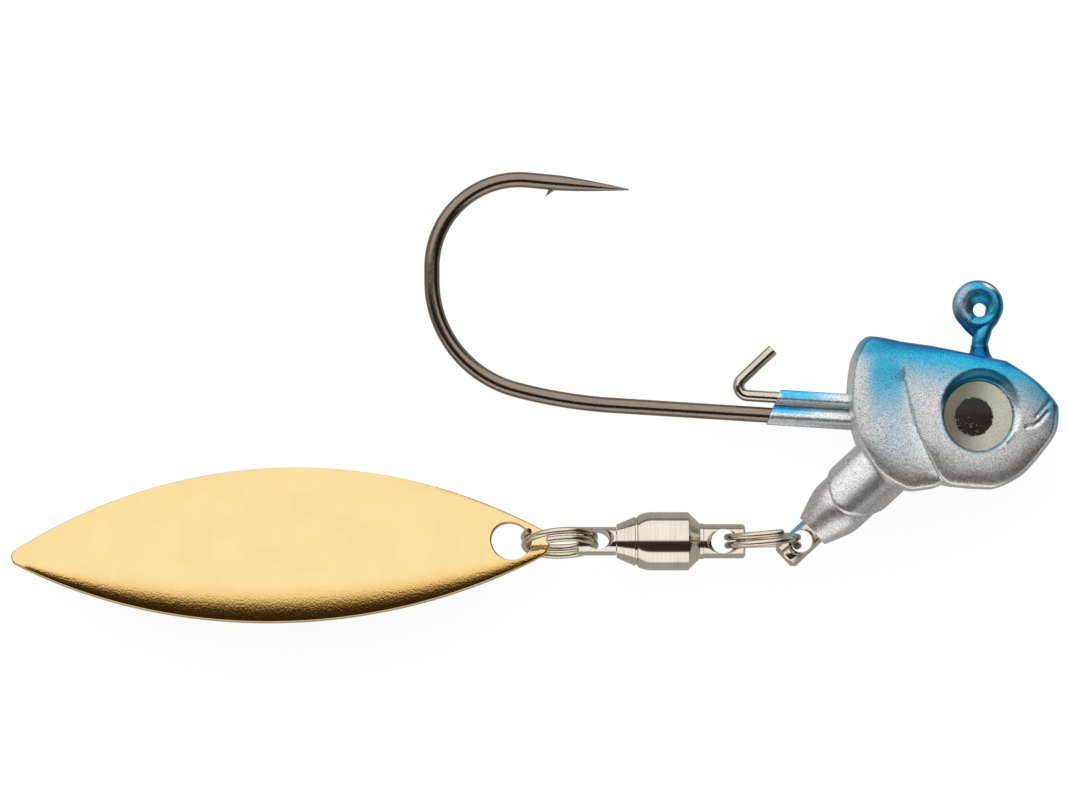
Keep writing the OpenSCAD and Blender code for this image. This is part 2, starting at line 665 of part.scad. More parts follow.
echo(gap_between_ring_turns = ring_pitch * cos(atan(ring_pitch / (2 * PI * ring_r))) - ring_wire_d);
echo(hanger = hanger_at, front_ring = front_ring_at, front_eye = front_eye_at, rear_eye = rear_eye_at,
  rear_ring = rear_ring_at, blade = blade_at, ring_tilt = ring_tilt, balls = ball_count);

head_casting();
hook();
bait_keeper();
hanger_eye();
near_eye_film();
near_eye_dome();
far_eye_film();
far_eye_dome();
front_split_ring();
swivel_barrel();
swivel_cap();
thrust_collar();
bearing_balls();
swivel_shaft();
rear_split_ring();
blade();
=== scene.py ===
"""Looks for the underspin jig head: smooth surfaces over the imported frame, finishes, studio and camera.

Lengths are in millimetres, as they are for the part itself, and become metres where a mesh is made.
X runs forward along the head, Y up the stem from the line tie's hole, and Z out of the near cheek.
"""
import json
import math

import bmesh
import bpy
import numpy as np
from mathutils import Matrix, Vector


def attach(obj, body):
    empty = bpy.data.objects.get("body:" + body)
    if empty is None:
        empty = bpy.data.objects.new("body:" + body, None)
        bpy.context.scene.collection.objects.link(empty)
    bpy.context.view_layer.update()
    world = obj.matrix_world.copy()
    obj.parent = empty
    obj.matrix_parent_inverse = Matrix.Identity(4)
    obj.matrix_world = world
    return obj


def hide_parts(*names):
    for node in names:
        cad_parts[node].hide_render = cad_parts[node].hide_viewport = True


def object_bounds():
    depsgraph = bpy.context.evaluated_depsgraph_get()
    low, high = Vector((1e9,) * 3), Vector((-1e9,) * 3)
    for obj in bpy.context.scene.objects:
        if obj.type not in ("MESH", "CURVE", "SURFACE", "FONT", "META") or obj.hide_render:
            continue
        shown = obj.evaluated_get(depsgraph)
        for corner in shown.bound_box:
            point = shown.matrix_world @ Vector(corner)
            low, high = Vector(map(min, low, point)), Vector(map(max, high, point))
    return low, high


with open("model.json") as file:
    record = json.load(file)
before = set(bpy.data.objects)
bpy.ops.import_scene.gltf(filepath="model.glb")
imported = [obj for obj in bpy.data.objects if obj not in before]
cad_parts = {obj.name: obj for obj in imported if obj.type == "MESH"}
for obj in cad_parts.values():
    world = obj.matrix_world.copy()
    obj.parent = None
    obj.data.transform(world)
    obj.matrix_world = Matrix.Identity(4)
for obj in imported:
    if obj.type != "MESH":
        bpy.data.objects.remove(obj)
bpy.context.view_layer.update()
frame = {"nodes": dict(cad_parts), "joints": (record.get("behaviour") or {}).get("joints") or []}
MM = 0.001

# Line tie and hook
TIE_HOLE_R = 0.55
TIE_AT = np.array([-0.1435, 0.3403])
TIE_RING_R = 1.36
TIE_WEB_T = 0.6
TIE_LOOP = (math.radians(-12), math.radians(232))
TIE_RISE = [(0, -4.6), (0, -3.4), (0.05, -2.45), (0.42, -1.46), (0.9, -0.76)]
TIE_FALL = [(-0.8, -1.02), (-0.6, -1.36), (-0.4, -1.68), (-0.2, -2.05), (-0.08, -2.5)]
TIE_STEM_THINNING = 0.07
TIE_NECK_THINNING = 0.12
TIE_END_THINNING = 0.34
PAINTED_R = 0.69
HOOK_R = 0.62
STEM_H = 9.48
STEM_BEND_R = 2.0
SHANK_L = 29.4
SHANK_SLOPE = math.radians(3.6)
EASE_R = 40.0
EASE_TURN = math.radians(11.4)
HEEL_R = 9.0
BACK_L = 1.1
THROAT_R = 7.0
POINT_L = 8.15
POINT_DROOP = math.radians(5.4)
TAPER_L = 5.9
TAPER_POWER = 1.4
POINT_R = 0.05
BARB_L = 0.95
BARB_LEAN = 0.7
BARB_ROOT_HALF = (0.39, 0.3)
BARB_TIP_HALF = (0.03, 0.1)

# Bait keeper
KEEPER_R = 0.46
KEEPER_RISE = 1.46
KEEPER_REACH = 18.7
KEEPER_BEND_R = 0.76
KEEPER_LEG_L = 3.45
KEEPER_TURN = math.radians(133)
KEEPER_ROOT = 7.47
KEEPER_END_ROUND = 0.06

# Head
HEAD_L = 16.6
HEAD_H = 12.2
HEAD_W = 9.0
GILL_W = 8.2
NOSE_W = 6.4
NECK_BOTTOM = -2.2
NECK_TOP = 0.35
NECK_FLARE = 0.75
NECK_H = 1.5
COLLAR_T = 0.1
COLLAR_L = 16.6
COLLAR_FROM = 7.97
COLLAR_MID = 0.66
COLLAR_WEB = 0.36
COLLAR_SLANT = 0.35
CORNER = np.array([0.0, -STEM_H])
HEAD_AT = CORNER + [0, 0.02 * HEAD_H]
# Outlines and crease are in hundredths of the head's length and height
GILL_SHAPE = [
    (-51, 58.3), (-56.2, 56.4), (-59.3, 50), (-62.2, 39), (-63.6, 16.4), (-61.9, -0.2), (-57.2, -18),
    (-49.4, -32.8), (-38, -42.1), (-29.5, -42.6), (-19.5, -38.3), (-9, -20.5), (-4.8, 8.2), (-10.8, 37.7),
    (-33, 52.5),
]
CHEEK_SHAPE = [
    (-50, 43), (-47.5, 18), (-38, -6), (-26.5, -27), (-18, -39.2), (-5.1, -41.6), (3.6, -42), (12, -38),
    (20.5, -30.7), (30, -16), (35.8, -4), (37, 9), (35.2, 16), (26.3, 28.9), (15.1, 39.3), (5.2, 46),
    (-9, 49.4), (-26.5, 53), (-40, 56.3), (-47, 55.5),
]
GILL_CREASE = [
    (-37.6, 36), (-38, 30), (-35.8, 16.4), (-32.9, 0), (-27.5, -16.4), (-24.5, -24.6), (-21.7, -32.8),
]

# Eyes
EYE_R = 2.75
EYE_DOME_H = 0.95
EYE_RIM_H = 0.25
EYE_FILM_T = 0.12
EYE_SINK = 0.5
EYE_LEAN = math.radians(4)

# Arm and hanger
ARM_ANGLE = math.radians(43)
ARM_L = 7.1
ARM_R = 2.35
ARM_STEP = 0.28
ARM_ROOT = 3.0
# Shares of the arm's length and of its radius there
ARM_PROFILE = np.array([
    (0.5, 1), (0.58, 1), (0.635, 0.99), (0.69, 0.96), (0.75, 0.905), (0.81, 0.84), (0.9, 0.738),
    (0.985, 0.64), (1.0, 0.617),
])
TONGUE_FROM = 0.14
TONGUE_L = 0.485
TONGUE_OFF = 0.188
TONGUE_HALF_W = 2.87
DAUB_AT = (-14.95, -17.4)
DAUB_HALF_L = 0.95
DAUB_HALF_W = 0.65

# Chain, hung at the places of the frame's joints
JOINT_AT = {joint["name"]: np.array(joint["pos_m"]) / MM for joint in frame["joints"]}
FRONT_RING_AT = JOINT_AT["swivel_slew"]
REAR_RING_AT = JOINT_AT["blade_slew"]
RING_WIRE_R = 0.28
RING_R = 2.82
RING_PITCH = 0.64
RING_ANGLE = 684
RING_MIDDLE = math.radians(450)
RING_END_SHARE = 0.8
FRONT_RING_START = 57
REAR_RING_START = 148
RING_TILT = math.asin(RING_PITCH / 4 / RING_R)

# Blade, whose hole hangs behind the rear ring's middle
BLADE_HANG = 3.9022
BLADE_AT = REAR_RING_AT - [BLADE_HANG, 0, 0]
BLADE_L = 43.2
BLADE_HALF_W = 6.45
BLADE_BELLY = 21.9
BLADE_TIP_R = 0.7
BLADE_LEAST_HALF = 1.2
BLADE_END_R = 1.3
BLADE_T = 0.5
BLADE_HOLE_R = 1.55
BLADE_HOLE_INSET = 3.12
BLADE_CUP_R = 18.6
BLADE_BOW_R = 94.0
BLADE_ROLL = math.radians(19)
BLADE_DROOP = math.radians(1.6)
BLADE_EDGE_ROUND = 0.14

# Studio, with the camera straight above the photograph's middle
CAMERA_AT = (-35.72, -7.2, 356.0)
LENS = 150
SENSOR_W = 36
FLOOR_SIZE = 4
FLOOR_GAP = 0.2
FLOOR_SHOWN = 0.85
FLOOR_GLOW = (1.08, 1.08, 1.08, 1)
FLOOR_MIRRORED = (0.48, 0.47, 0.46, 1)
SKY_DARK = (0.04, 0.03, 0.024, 1)
SKY_LIT = (1.4, 1.4, 1.4, 1)
# Where a light box begins, is full, fades and ends: degrees from overhead, or the share along X
FAR_BOX = (-125.0, -105.0, -7.0, -1.0)
NEAR_BOX = (40.0, 45.0, 105.0, 125.0)
BOX_WIDTH = (-0.95, -0.75, 0.5, 0.7)


# Surfaces

def unit(vectors):
    """Vectors of length one along the last axis."""
    return vectors / np.linalg.norm(vectors, axis=-1, keepdims=True)


def smooth_step(low, high, value):
    """0 below low, 1 above high, and 3t^2 - 2t^3 between them."""
    t = np.clip((value - low) / (high - low), 0, 1)
    return t * t * (3 - 2 * t)


def between(start, full, fade, end, value):
    """Rises smoothly from 0 at start to 1 at full, and falls again from fade to 0 at end."""
    return smooth_step(start, full, value) * (1 - smooth_step(fade, end, value))


def bell(offset, width, power=2):
    """exp(-(offset / width)^power): 1 in the middle and near 0 beyond twice the width."""
    return np.exp(-((offset / width) ** power))


def arc(mid, radius, start, end, count):
    """Points mid + radius (cos a, sin a), with a in radians from start to end."""
    a = np.linspace(start, end, count)
    return np.asarray(mid) + radius * np.stack([np.cos(a), np.sin(a)], -1)


def spline(a, b, c, d, t):
    """Catmull-Rom curve from b to c at the shares t of the way, with a before b and d after c."""
    return (2 * b + (c - a) * t + (2 * a - 5 * b + 4 * c - d) * t**2 + (3 * b - a - 3 * c + d) * t**3) / 2


def smooth_loop(points, steps):
    """Closed Catmull-Rom curve through points, with steps samples from each point to the next."""
    b = np.asarray(points, float)
    a, c, d = np.roll(b, 1, 0), np.roll(b, -1, 0), np.roll(b, -2, 0)
    t = (np.arange(steps) / steps)[None, :, None]
    return spline(*(p[:, None] for p in (a, b, c, d)), t).reshape(-1, 2)


def smooth_path(points, steps):
    """Open Catmull-Rom curve through points, with steps samples from each point to the next."""
    b = np.asarray(points, float)
    ends = np.vstack([2 * b[0] - b[1], b, 2 * b[-1] - b[-2]])
    t = np.linspace(0, 1, steps, endpoint=False)[None, :, None]
    curve = spline(*(ends[k:len(ends) - 3 + k][:, None] for k in range(4)), t)
    return np.vstack([curve.reshape(-1, b.shape[1]), b[-1:]])


def quads(rows, cols):
    """Quads of a grid whose last column joins its first."""
    i, j = np.meshgrid(np.arange(rows - 1), np.arange(cols), indexing="ij")
    k = (j + 1) % cols
    return np.stack([i * cols + j, i * cols + k, (i + 1) * cols + k, (i + 1) * cols + j], -1).reshape(-1, 4)


def outward(points, faces):
    """The faces, turned over if the skin they make encloses a negative volume."""
    corners = [points[np.array([f[k] for f in faces])] for k in range(3)]
    last = points[np.array([f[-1] for f in faces])]
    volume = np.sum(corners[0] * np.cross(corners[1], corners[2]))
    volume += np.sum(corners[0] * np.cross(corners[2], last))
    return [f[::-1] for f in faces] if volume < 0 else faces


def closed_skin(grid):
    """Skin of grid[row, column, xyz]: its columns run round, and each end row closes on its own middle."""
    rows, cols, _ = grid.shape
    points = np.vstack([grid.reshape(-1, 3), grid[0].mean(0), grid[-1].mean(0)])
    j = np.arange(cols)
    k = (j + 1) % cols
    first = np.stack([k, j, np.full(cols, rows * cols)], -1)
    last = np.stack([(rows - 1) * cols + j, (rows - 1) * cols + k, np.full(cols, rows * cols + 1)], -1)
    faces = quads(rows, cols).tolist() + first.tolist() + last.tolist()
    return points, outward(points, faces)


def ring_skin(grid):
    """Skin of grid[row, column, xyz] that runs round both ways, as a ring does."""
    rows, cols, _ = grid.shape
    faces = quads(rows + 1, cols) % (rows * cols)
    points = grid.reshape(-1, 3)
    return points, outward(points, faces.tolist())


def sweep(path, radius, sides, up=(0, 0, 1)):
    """Wire along a path: p + radius (side cos v + top sin v), with side and top square to the path at p."""
    path = np.asarray(path, float)
    ahead = unit(np.gradient(path, axis=0))
    side = unit(np.cross(ahead, up))
    top = np.cross(side, ahead)
    v = np.linspace(0, 2 * np.pi, sides, endpoint=False)[None, :, None]
    radius = np.broadcast_to(radius, len(path))[:, None, None]
    return path[:, None] + radius * (side[:, None] * np.cos(v) + top[:, None] * np.sin(v))


def revolve(profile, sides):
    """Turned surface: a profile point (r, h) becomes (r cos v, r sin v, h) at each angle v."""
    r, h = np.asarray(profile, float).T
    v = np.linspace(0, 2 * np.pi, sides, endpoint=False)
    return np.stack([r[:, None] * np.cos(v), r[:, None] * np.sin(v), np.repeat(h[:, None], sides, 1)], -1)


def flat(points):
    """Points of a plane curve, put in the plane Z = 0."""
    points = np.asarray(points, float)
    return np.column_stack([points, np.zeros(len(points))])


def turned(grid, angle, axis):
    """Points turned by angle about the X, Y or Z axis."""
    c, s = math.cos(angle), math.sin(angle)
    i, j = {"X": (1, 2), "Y": (2, 0), "Z": (0, 1)}[axis]
    out = np.array(grid, float)
    out[..., i] = c * grid[..., i] - s * grid[..., j]
    out[..., j] = s * grid[..., i] + c * grid[..., j]
    return out


def ray_exit(edge, start, angles):
    """How far from start the rays at angles run before they leave the convex outline edge."""
    return 1 / edge_share(edge, start, start + np.stack([np.cos(angles), np.sin(angles)], -1))


def edge_share(edge, mid, points):
    """Share of the way from mid to the convex outline edge, at each point."""
    step = np.roll(edge, -1, 0) - edge
    normal = np.stack([step[:, 1], -step[:, 0]], -1)
    reach = np.sum(normal * (edge - mid), 1)
    return ((points - mid) @ (normal / reach[:, None]).T).max(1)


def line_distance(points, line):
    """Distance from each point to a line of straight runs."""
    line = np.asarray(line, float)
    start, run = line[:-1], np.diff(line, axis=0)
    offset = points[:, None] - start
    t = np.clip(np.sum(offset * run, -1) / np.sum(run * run, -1), 0, 1)
    return np.linalg.norm(offset - t[..., None] * run, axis=-1).min(1)


def make_piece(name, skins, finish, body, node, sharp=40, marks=None):
    """One mesh from several skins, in metres, that rides on a body and stands for a CAD node."""
    counts = np.cumsum([0] + [len(points) for points, _ in skins])
    points = np.vstack([points for points, _ in skins])
    faces = [[int(v + base) for v in face] for (_, group), base in zip(skins, counts) for face in group]
    mesh = bpy.data.meshes.new(name)
    mesh.from_pydata((points * MM).tolist(), [], faces)
    mesh.shade_smooth()
    mesh.set_sharp_from_angle(angle=math.radians(sharp))
    for mark, values in (marks or {}).items():
        layer = mesh.attributes.new(mark, "FLOAT", "POINT")
        layer.data.foreach_set("value", np.ascontiguousarray(values(points), np.float32))
    mesh.materials.append(finish)
    piece = bpy.data.objects.new(name, mesh)
    bpy.context.scene.collection.objects.link(piece)
    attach(piece, body)
    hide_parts(node)


def merged_copy(node, finish, body, bevel, sharp=32):
    """A smooth copy of a CAD node: its corners are merged and its sharp edges are eased by a bevel."""
    source = frame["nodes"][node]
    mesh = source.data.copy()
    mesh.materials.clear()
    shape = bmesh.new()
    shape.from_mesh(mesh)
    bmesh.ops.remove_doubles(shape, verts=shape.verts, dist=2e-6)
    bmesh.ops.dissolve_limit(shape, angle_limit=math.radians(0.5), verts=shape.verts, edges=shape.edges)
    shape.to_mesh(mesh)
    shape.free()
    mesh.shade_smooth()
    mesh.set_sharp_from_angle(angle=math.radians(sharp))
    mesh.materials.append(finish)
    piece = bpy.data.objects.new(node + "_smooth", mesh)
    bpy.context.scene.collection.objects.link(piece)
    if bevel:
        ease = piece.modifiers.new("eased edges", "BEVEL")
        ease.width = bevel * MM
        ease.segments = 2
        ease.limit_method = "ANGLE"
        ease.angle_limit = math.radians(sharp)
    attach(piece, body)
    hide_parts(node)


# Finishes

def tint(code):
    """Linear colour of a hex code in display colours."""
    shares = [int(code[i:i + 2], 16) / 255 for i in (0, 2, 4)]
    return tuple(c / 12.92 if c <= 0.04045 else ((c + 0.055) / 1.055) ** 2.4 for c in shares) + (1.0,)


class Signal:
    """An output of a node tree, with operators that add Math nodes."""

    def __init__(self, tree, socket):
        self.tree = tree
        self.socket = socket

    def math(self, operation, *values):
        return self.tree.node("ShaderNodeMath", dict(enumerate(values)), operation=operation)

    def output(self, name):
        return Signal(self.tree, self.socket.node.outputs[name])

    def __add__(self, other):
        return self.math("ADD", self, other)

    def __radd__(self, other):
        return self.math("ADD", other, self)

    def __sub__(self, other):
        return self.math("SUBTRACT", self, other)

    def __rsub__(self, other):
        return self.math("SUBTRACT", other, self)

    def __mul__(self, other):
        return self.math("MULTIPLY", self, other)

    def __rmul__(self, other):
        return self.math("MULTIPLY", other, self)

    def __truediv__(self, other):
        return self.math("DIVIDE", self, other)

    def __rtruediv__(self, other):
        return self.math("DIVIDE", other, self)

    def __pow__(self, other):
        return self.math("POWER", self, other)

    def ramp(self, low, high):
        """0 at low, 1 at high, smooth between."""
        sockets = {"Value": self, "From Min": low, "From Max": high, "To Min": 0.0, "To Max": 1.0}
        return self.tree.node("ShaderNodeMapRange", sockets, interpolation_type="SMOOTHSTEP")

    def band(self, start, full, fade, end):
        """0 at start, 1 from full to fade, and 0 again at end."""
        return self.ramp(start, full) * (1 - self.ramp(fade, end))


class Tree:
    """Nodes of a material or world."""

    def __init__(self, owner):
        owner.use_nodes = True
        self.nodes = owner.node_tree.nodes
        self.links = owner.node_tree.links
        self.nodes.clear()

    def node(self, kind, sockets=None, **settings):
        """Adds a node with its settings and socket values, and gives its first output."""
        made = self.nodes.new(kind)
        for name, value in settings.items():
            setattr(made, name, value)
        for name, value in (sockets or {}).items():
            if isinstance(value, Signal):
                self.links.new(value.socket, made.inputs[name])
            else:
                made.inputs[name].default_value = value
        return Signal(self, made.outputs[0]) if made.outputs else None

    def mix(self, share, first, second):
        """Colour between first and second."""
        made = self.node("ShaderNodeMix", {0: share, 6: first, 7: second}, data_type="RGBA")
        return Signal(self, made.socket.node.outputs[2])

    def place(self):
        """Object coordinates, in millimetres."""
        where = self.node("ShaderNodeTexCoord").output("Object")
        return self.node("ShaderNodeVectorMath", {0: where, "Scale": 1 / MM}, operation="SCALE")

    def axes(self, place):
        """X, Y and Z of a place as single values."""
        parts = self.node("ShaderNodeSeparateXYZ", {0: place})
        return parts.output("X"), parts.output("Y"), parts.output("Z")

    def noise(self, place, size, detail=2.0):
        """Smooth noise about 0.5, with features of that size in millimetres."""
        return self.node("ShaderNodeTexNoise", {"Vector": place, "Scale": 1 / size, "Detail": detail})

    def mark(self, name):
        """A value stored on the mesh."""
        return self.node("ShaderNodeAttribute", attribute_name=name).output("Fac")

    def bump(self, height, depth):
        """Normal of a relief that is depth millimetres deep."""
        return self.node("ShaderNodeBump", {"Height": height, "Distance": depth * MM, "Strength": 1.0})


def new_finish(name, build):
    """A material whose surface is what build(tree) returns."""
    made = bpy.data.materials.new(name)
    tree = Tree(made)
    surface = build(tree)
    tree.node("ShaderNodeOutputMaterial", {"Surface": surface})
    return made


def metal(base, dark, rough, stretch=(1, 1, 1)):
    """Builds a plated metal: a base colour with darker grain, drawn out into lines where stretch is small."""
    def build(tree):
        place = tree.node("ShaderNodeVectorMath", {0: tree.place(), 1: stretch}, operation="MULTIPLY")
        cloud = tree.noise(place, 1.6, 3.0)
        fine = tree.noise(place, 0.12, 2.0)
        share = (cloud - 0.5) * 0.5 + (fine - 0.5) * 0.8 + 0.25
        colour = tree.mix(share.ramp(0.0, 1.0), tint(base), tint(dark))
        sockets = {
            "Base Color": colour,
            "Metallic": 1.0,
            "Roughness": (fine - 0.5) * 0.12 + rough,
            "Normal": tree.bump(tree.noise(place, 0.5, 3.0), 0.008),
        }
        return tree.node("ShaderNodeBsdfPrincipled", sockets)
    return build


def gold(tree):
    """Gold plate: a warm mirror with a pebbled relief, and a painted reflection that deepens the gold towards
    its lower edge.
    """
    place = tree.place()
    fine = tree.noise(place, 0.15, 2.0)
    cloud = tree.noise(place, 3.0, 3.0)
    colour = tree.mix(cloud.ramp(0.3, 0.7), tint("dbc38e"), tint("d8bf88"))
    # Painted reflection: a deeper, more orange gold along the lower edge stands in for the dark reflection
    # there
    low = tree.mark("low")
    colour = tree.mix(low.band(0.5, 0.95, 0.972, 0.985), colour, tint("d6a24a"))
    sockets = {
        "Base Color": colour,
        "Metallic": 1.0,
        "Roughness": (fine - 0.5) * 0.08 + 0.1,
        "Normal": tree.bump(fine, 0.007),
    }
    return tree.node("ShaderNodeBsdfPrincipled", sockets)


def paint(tree):
    """Pearl paint over cast lead: bright and dark flake, painted shade that darkens and warms it below, and
    blue, painted shade or bare metal by mark.
    """
    place = tree.place()
    _, y, _ = tree.axes(place)
    fine = tree.noise(place, 0.1, 2.0)
    mid = tree.noise(place, 0.3, 2.0)
    grain = ((fine - 0.5) * 2.2 + (mid - 0.5) * 0.4 + 0.58).ramp(0, 1)
    silver = tree.mix(grain, tint("a6a2a0"), tint("f8fafa"))
    azure = tree.mix(grain, tint("0e86bc"), tint("40ccf0"))
    deep = tree.mark("blue")
    blue_share = deep + ((fine - 0.5) * 0.6 + (mid - 0.5) * 0.3) * deep
    # Painted shade: the silver turns darker and warmer towards the bottom of the head and arm
    silver = tree.mix((y + 10.5).ramp(0.0, -4.0) * 0.22, silver, tint("857a6f"))
    # Painted shade: where the blue mark passes 1, along the back's top edge, the azure darkens to a deeper
    # blue
    azure = tree.mix(deep.ramp(0.95, 1.4), azure, tint("0869a6"))
    colour = tree.mix(blue_share.ramp(0.0, 1.0), silver, azure)
    # Painted shade: the shade mark darkens the paint towards dark blue round the eyes, in the dishes, along
    # the jaw and in the collar's valley and below its rods
    colour = tree.mix(tree.mark("shade") * 0.85, colour, tint("144562"))
    bare = tree.mark("chip")
    colour = tree.mix(bare.ramp(0.1, 0.45), colour, tint("f2eeea"))
    colour = tree.mix(bare.ramp(0.6, 0.9), colour, tint("1d1715"))
    sockets = {
        "Base Color": colour,
        "Metallic": 0.92,
        "Roughness": (mid - 0.5) * 0.12 + 0.34,
        "Coat Weight": 0.1,
        "Coat Roughness": 0.15,
        "Normal": tree.bump(fine * 0.6 + mid * 0.4, 0.022),
    }
    return tree.node("ShaderNodeBsdfPrincipled", sockets)


def iris(tree):
    """Printed film: olive to pearl across, and a ragged dark pupil with sparkles."""
    place = tree.place()
    x, y, _ = tree.axes(place)
    off_x = x - PUPIL_AT[0]
    off_y = y - PUPIL_AT[1]
    fine = tree.noise(place, 0.16, 3.0)
    sparkle = tree.noise(place, 0.09, 0.0)
    reach = (off_x * off_x + off_y * off_y) ** 0.5
    ragged = reach + (fine - 0.5) * 0.5
    across = (x - EYE_AT[0]) / 4.4 + 0.42 - (y - EYE_AT[1]) * 0.06
    ring = tree.mix(across.ramp(0.0, 0.8), tint("8f8d7c"), tint("fbf9f0"))
    ring = tree.mix((fine - 0.5) * 0.8 + 0.1, ring, tint("8c8977"))
    low = (off_y * -0.25 - off_x * 0.12).ramp(-0.1, 0.3)
    pupil = tree.mix(sparkle.ramp(0.74, 0.78) * low, tint("362d29"), tint("e4e0cc"))
    colour = tree.mix(ragged.ramp(*PUPIL_EDGE), pupil, ring)
    return tree.node("ShaderNodeBsdfPrincipled", {"Base Color": colour, "Metallic": 0.8, "Roughness": 0.5})


def clear_resin(tree):
    """Clear dome: what lies under it shows, with a glossy outer face."""
    clear = tree.node("ShaderNodeBsdfTransparent", {"Color": (0.98, 0.98, 0.96, 1)})
    gloss = tree.node("ShaderNodeBsdfGlossy", {"Roughness": 0.2})
    inside = tree.node("ShaderNodeNewGeometry").output("Backfacing")
    share = tree.node("ShaderNodeFresnel", {"IOR": 1.5}) * (1 - inside) * 0.4
    return tree.node("ShaderNodeMixShader", {0: share, 1: clear, 2: gloss})


def daubed_nickel(tree):
    """Nickel with a daub of blue paint on the hanger's flank, beside the end of the arm."""
    place = tree.place()
    x, y, _ = tree.axes(place)
    along = (x - DAUB_AT[0]) * math.cos(ARM_ANGLE) + (y - DAUB_AT[1]) * math.sin(ARM_ANGLE)
    across = (y - DAUB_AT[1]) * math.cos(ARM_ANGLE) - (x - DAUB_AT[0]) * math.sin(ARM_ANGLE)
    ragged = (tree.noise(place, 0.3, 2.0) - 0.5) * 0.5
    reach = ((along / DAUB_HALF_L) ** 2 + (across / DAUB_HALF_W) ** 2) ** 0.5 + ragged
    daub = 1 - reach.ramp(0.85, 1.0)
    sockets = {
        "Base Color": tree.mix(daub, tint("c4bbad"), tint("86bcd8")),
        "Metallic": 1.0,
        "Roughness": daub * 0.25 + 0.15,
    }
    return tree.node("ShaderNodeBsdfPrincipled", sockets)


DAUBED_NICKEL = new_finish("daubed_nickel", daubed_nickel)
NICKEL = new_finish("nickel", metal("cfc7ba", "b4aa9c", 0.13))
BLACK_NICKEL = new_finish("black_nickel", metal("8a7d70", "6a5d51", 0.2))
DULL_NICKEL = new_finish("dull_nickel", metal("c4baab", "9c9182", 0.15))
TURNED_NICKEL = new_finish("turned_nickel", metal("d2cabd", "a89d8e", 0.13, (1, 0.05, 0.05)))
RING_STEEL = new_finish("ring_steel", metal("d2c6b2", "ab9c86", 0.24))
BEARING_STEEL = new_finish("bearing_steel", metal("c4c4c4", "9c9c9c", 0.12))
GOLD = new_finish("gold_plate", gold)
PAINT = new_finish("paint", paint)


# Hook

ALONG = np.array([-math.cos(SHANK_SLOPE), math.sin(SHANK_SLOPE)])
ACROSS = np.array([math.sin(SHANK_SLOPE), math.cos(SHANK_SLOPE)])


def shank_point(u, w):
    """Point u along the shank from its corner with the stem, and w above its middle."""
    return CORNER + np.multiply.outer(u, ALONG) + np.multiply.outer(w, ACROSS)


def shank_place(points):
    """How far along the shank points lie, and how high above its middle."""
    offset = points[:, :2] - CORNER
    return offset @ ALONG, offset @ ACROSS


stem_bend_at = CORNER + [-STEM_BEND_R, STEM_BEND_R * math.tan(math.pi / 4 + SHANK_SLOPE / 2)]
ease_at = CORNER + SHANK_L * ALONG + EASE_R * ACROSS
heel_from = 1.5 * math.pi - SHANK_SLOPE - EASE_TURN
heel_at = ease_at + (EASE_R - HEEL_R) * np.array([math.cos(heel_from), math.sin(heel_from)])
throat_at = heel_at + [THROAT_R - HEEL_R, BACK_L]
point_at = throat_at + THROAT_R * np.array([math.sin(POINT_DROOP), math.cos(POINT_DROOP)])
point_dir = np.array([math.cos(POINT_DROOP), -math.sin(POINT_DROOP)])
straight_l = POINT_L - TAPER_L
hook_line = np.vstack([
    arc(stem_bend_at, STEM_BEND_R, 0, -math.pi / 2 - SHANK_SLOPE, 16),
    shank_point(np.linspace(4, SHANK_L, 40), np.zeros(40))[:-1],
    arc(ease_at, EASE_R, 1.5 * math.pi - SHANK_SLOPE, heel_from, 24)[:-1],
    arc(heel_at, HEEL_R, heel_from, math.pi, 48),
    arc(throat_at, THROAT_R, math.pi, math.pi / 2 - POINT_DROOP, 60),
    point_at + np.multiply.outer(np.linspace(0.3, straight_l, 6), point_dir),
])
taper = np.linspace(0, 1, 40)[1:]
taper_line = point_at + np.multiply.outer(straight_l + TAPER_L * taper, point_dir)
taper_radius = POINT_R + (HOOK_R - POINT_R) * (1 - taper**TAPER_POWER)
hook_radius = np.concatenate([np.full(len(hook_line), HOOK_R), taper_radius])
hook_skin = closed_skin(sweep(flat(np.vstack([hook_line, taper_line])), hook_radius, 32))


def barb_skin():
    """Barb: a sliver that runs from the wire's side to a raised edge, as sections that shrink along it."""
    rows = 12
    t = np.linspace(0, 1, rows)
    root = point_at + straight_l * point_dir
    down = np.array([point_dir[1], -point_dir[0]])
    lift = 0.45 * HOOK_R + (0.3 * HOOK_R + BARB_LEAN * BARB_L) * t
    back = -BARB_LEAN * BARB_L * t
    mid = root + np.multiply.outer(back, point_dir) + np.multiply.outer(lift, down)
    v = np.linspace(0, 2 * np.pi, 16, endpoint=False)
    half_l, half_w = np.linspace(BARB_ROOT_HALF, BARB_TIP_HALF, rows).T[..., None]
    xy = mid[:, None] + (half_l * np.cos(v))[..., None] * point_dir
    return closed_skin(np.concatenate([xy, (half_w * np.sin(v))[..., None]], -1))


make_piece("hook_wire", [hook_skin, barb_skin()], BLACK_NICKEL, "head", "hook")

# Bait keeper

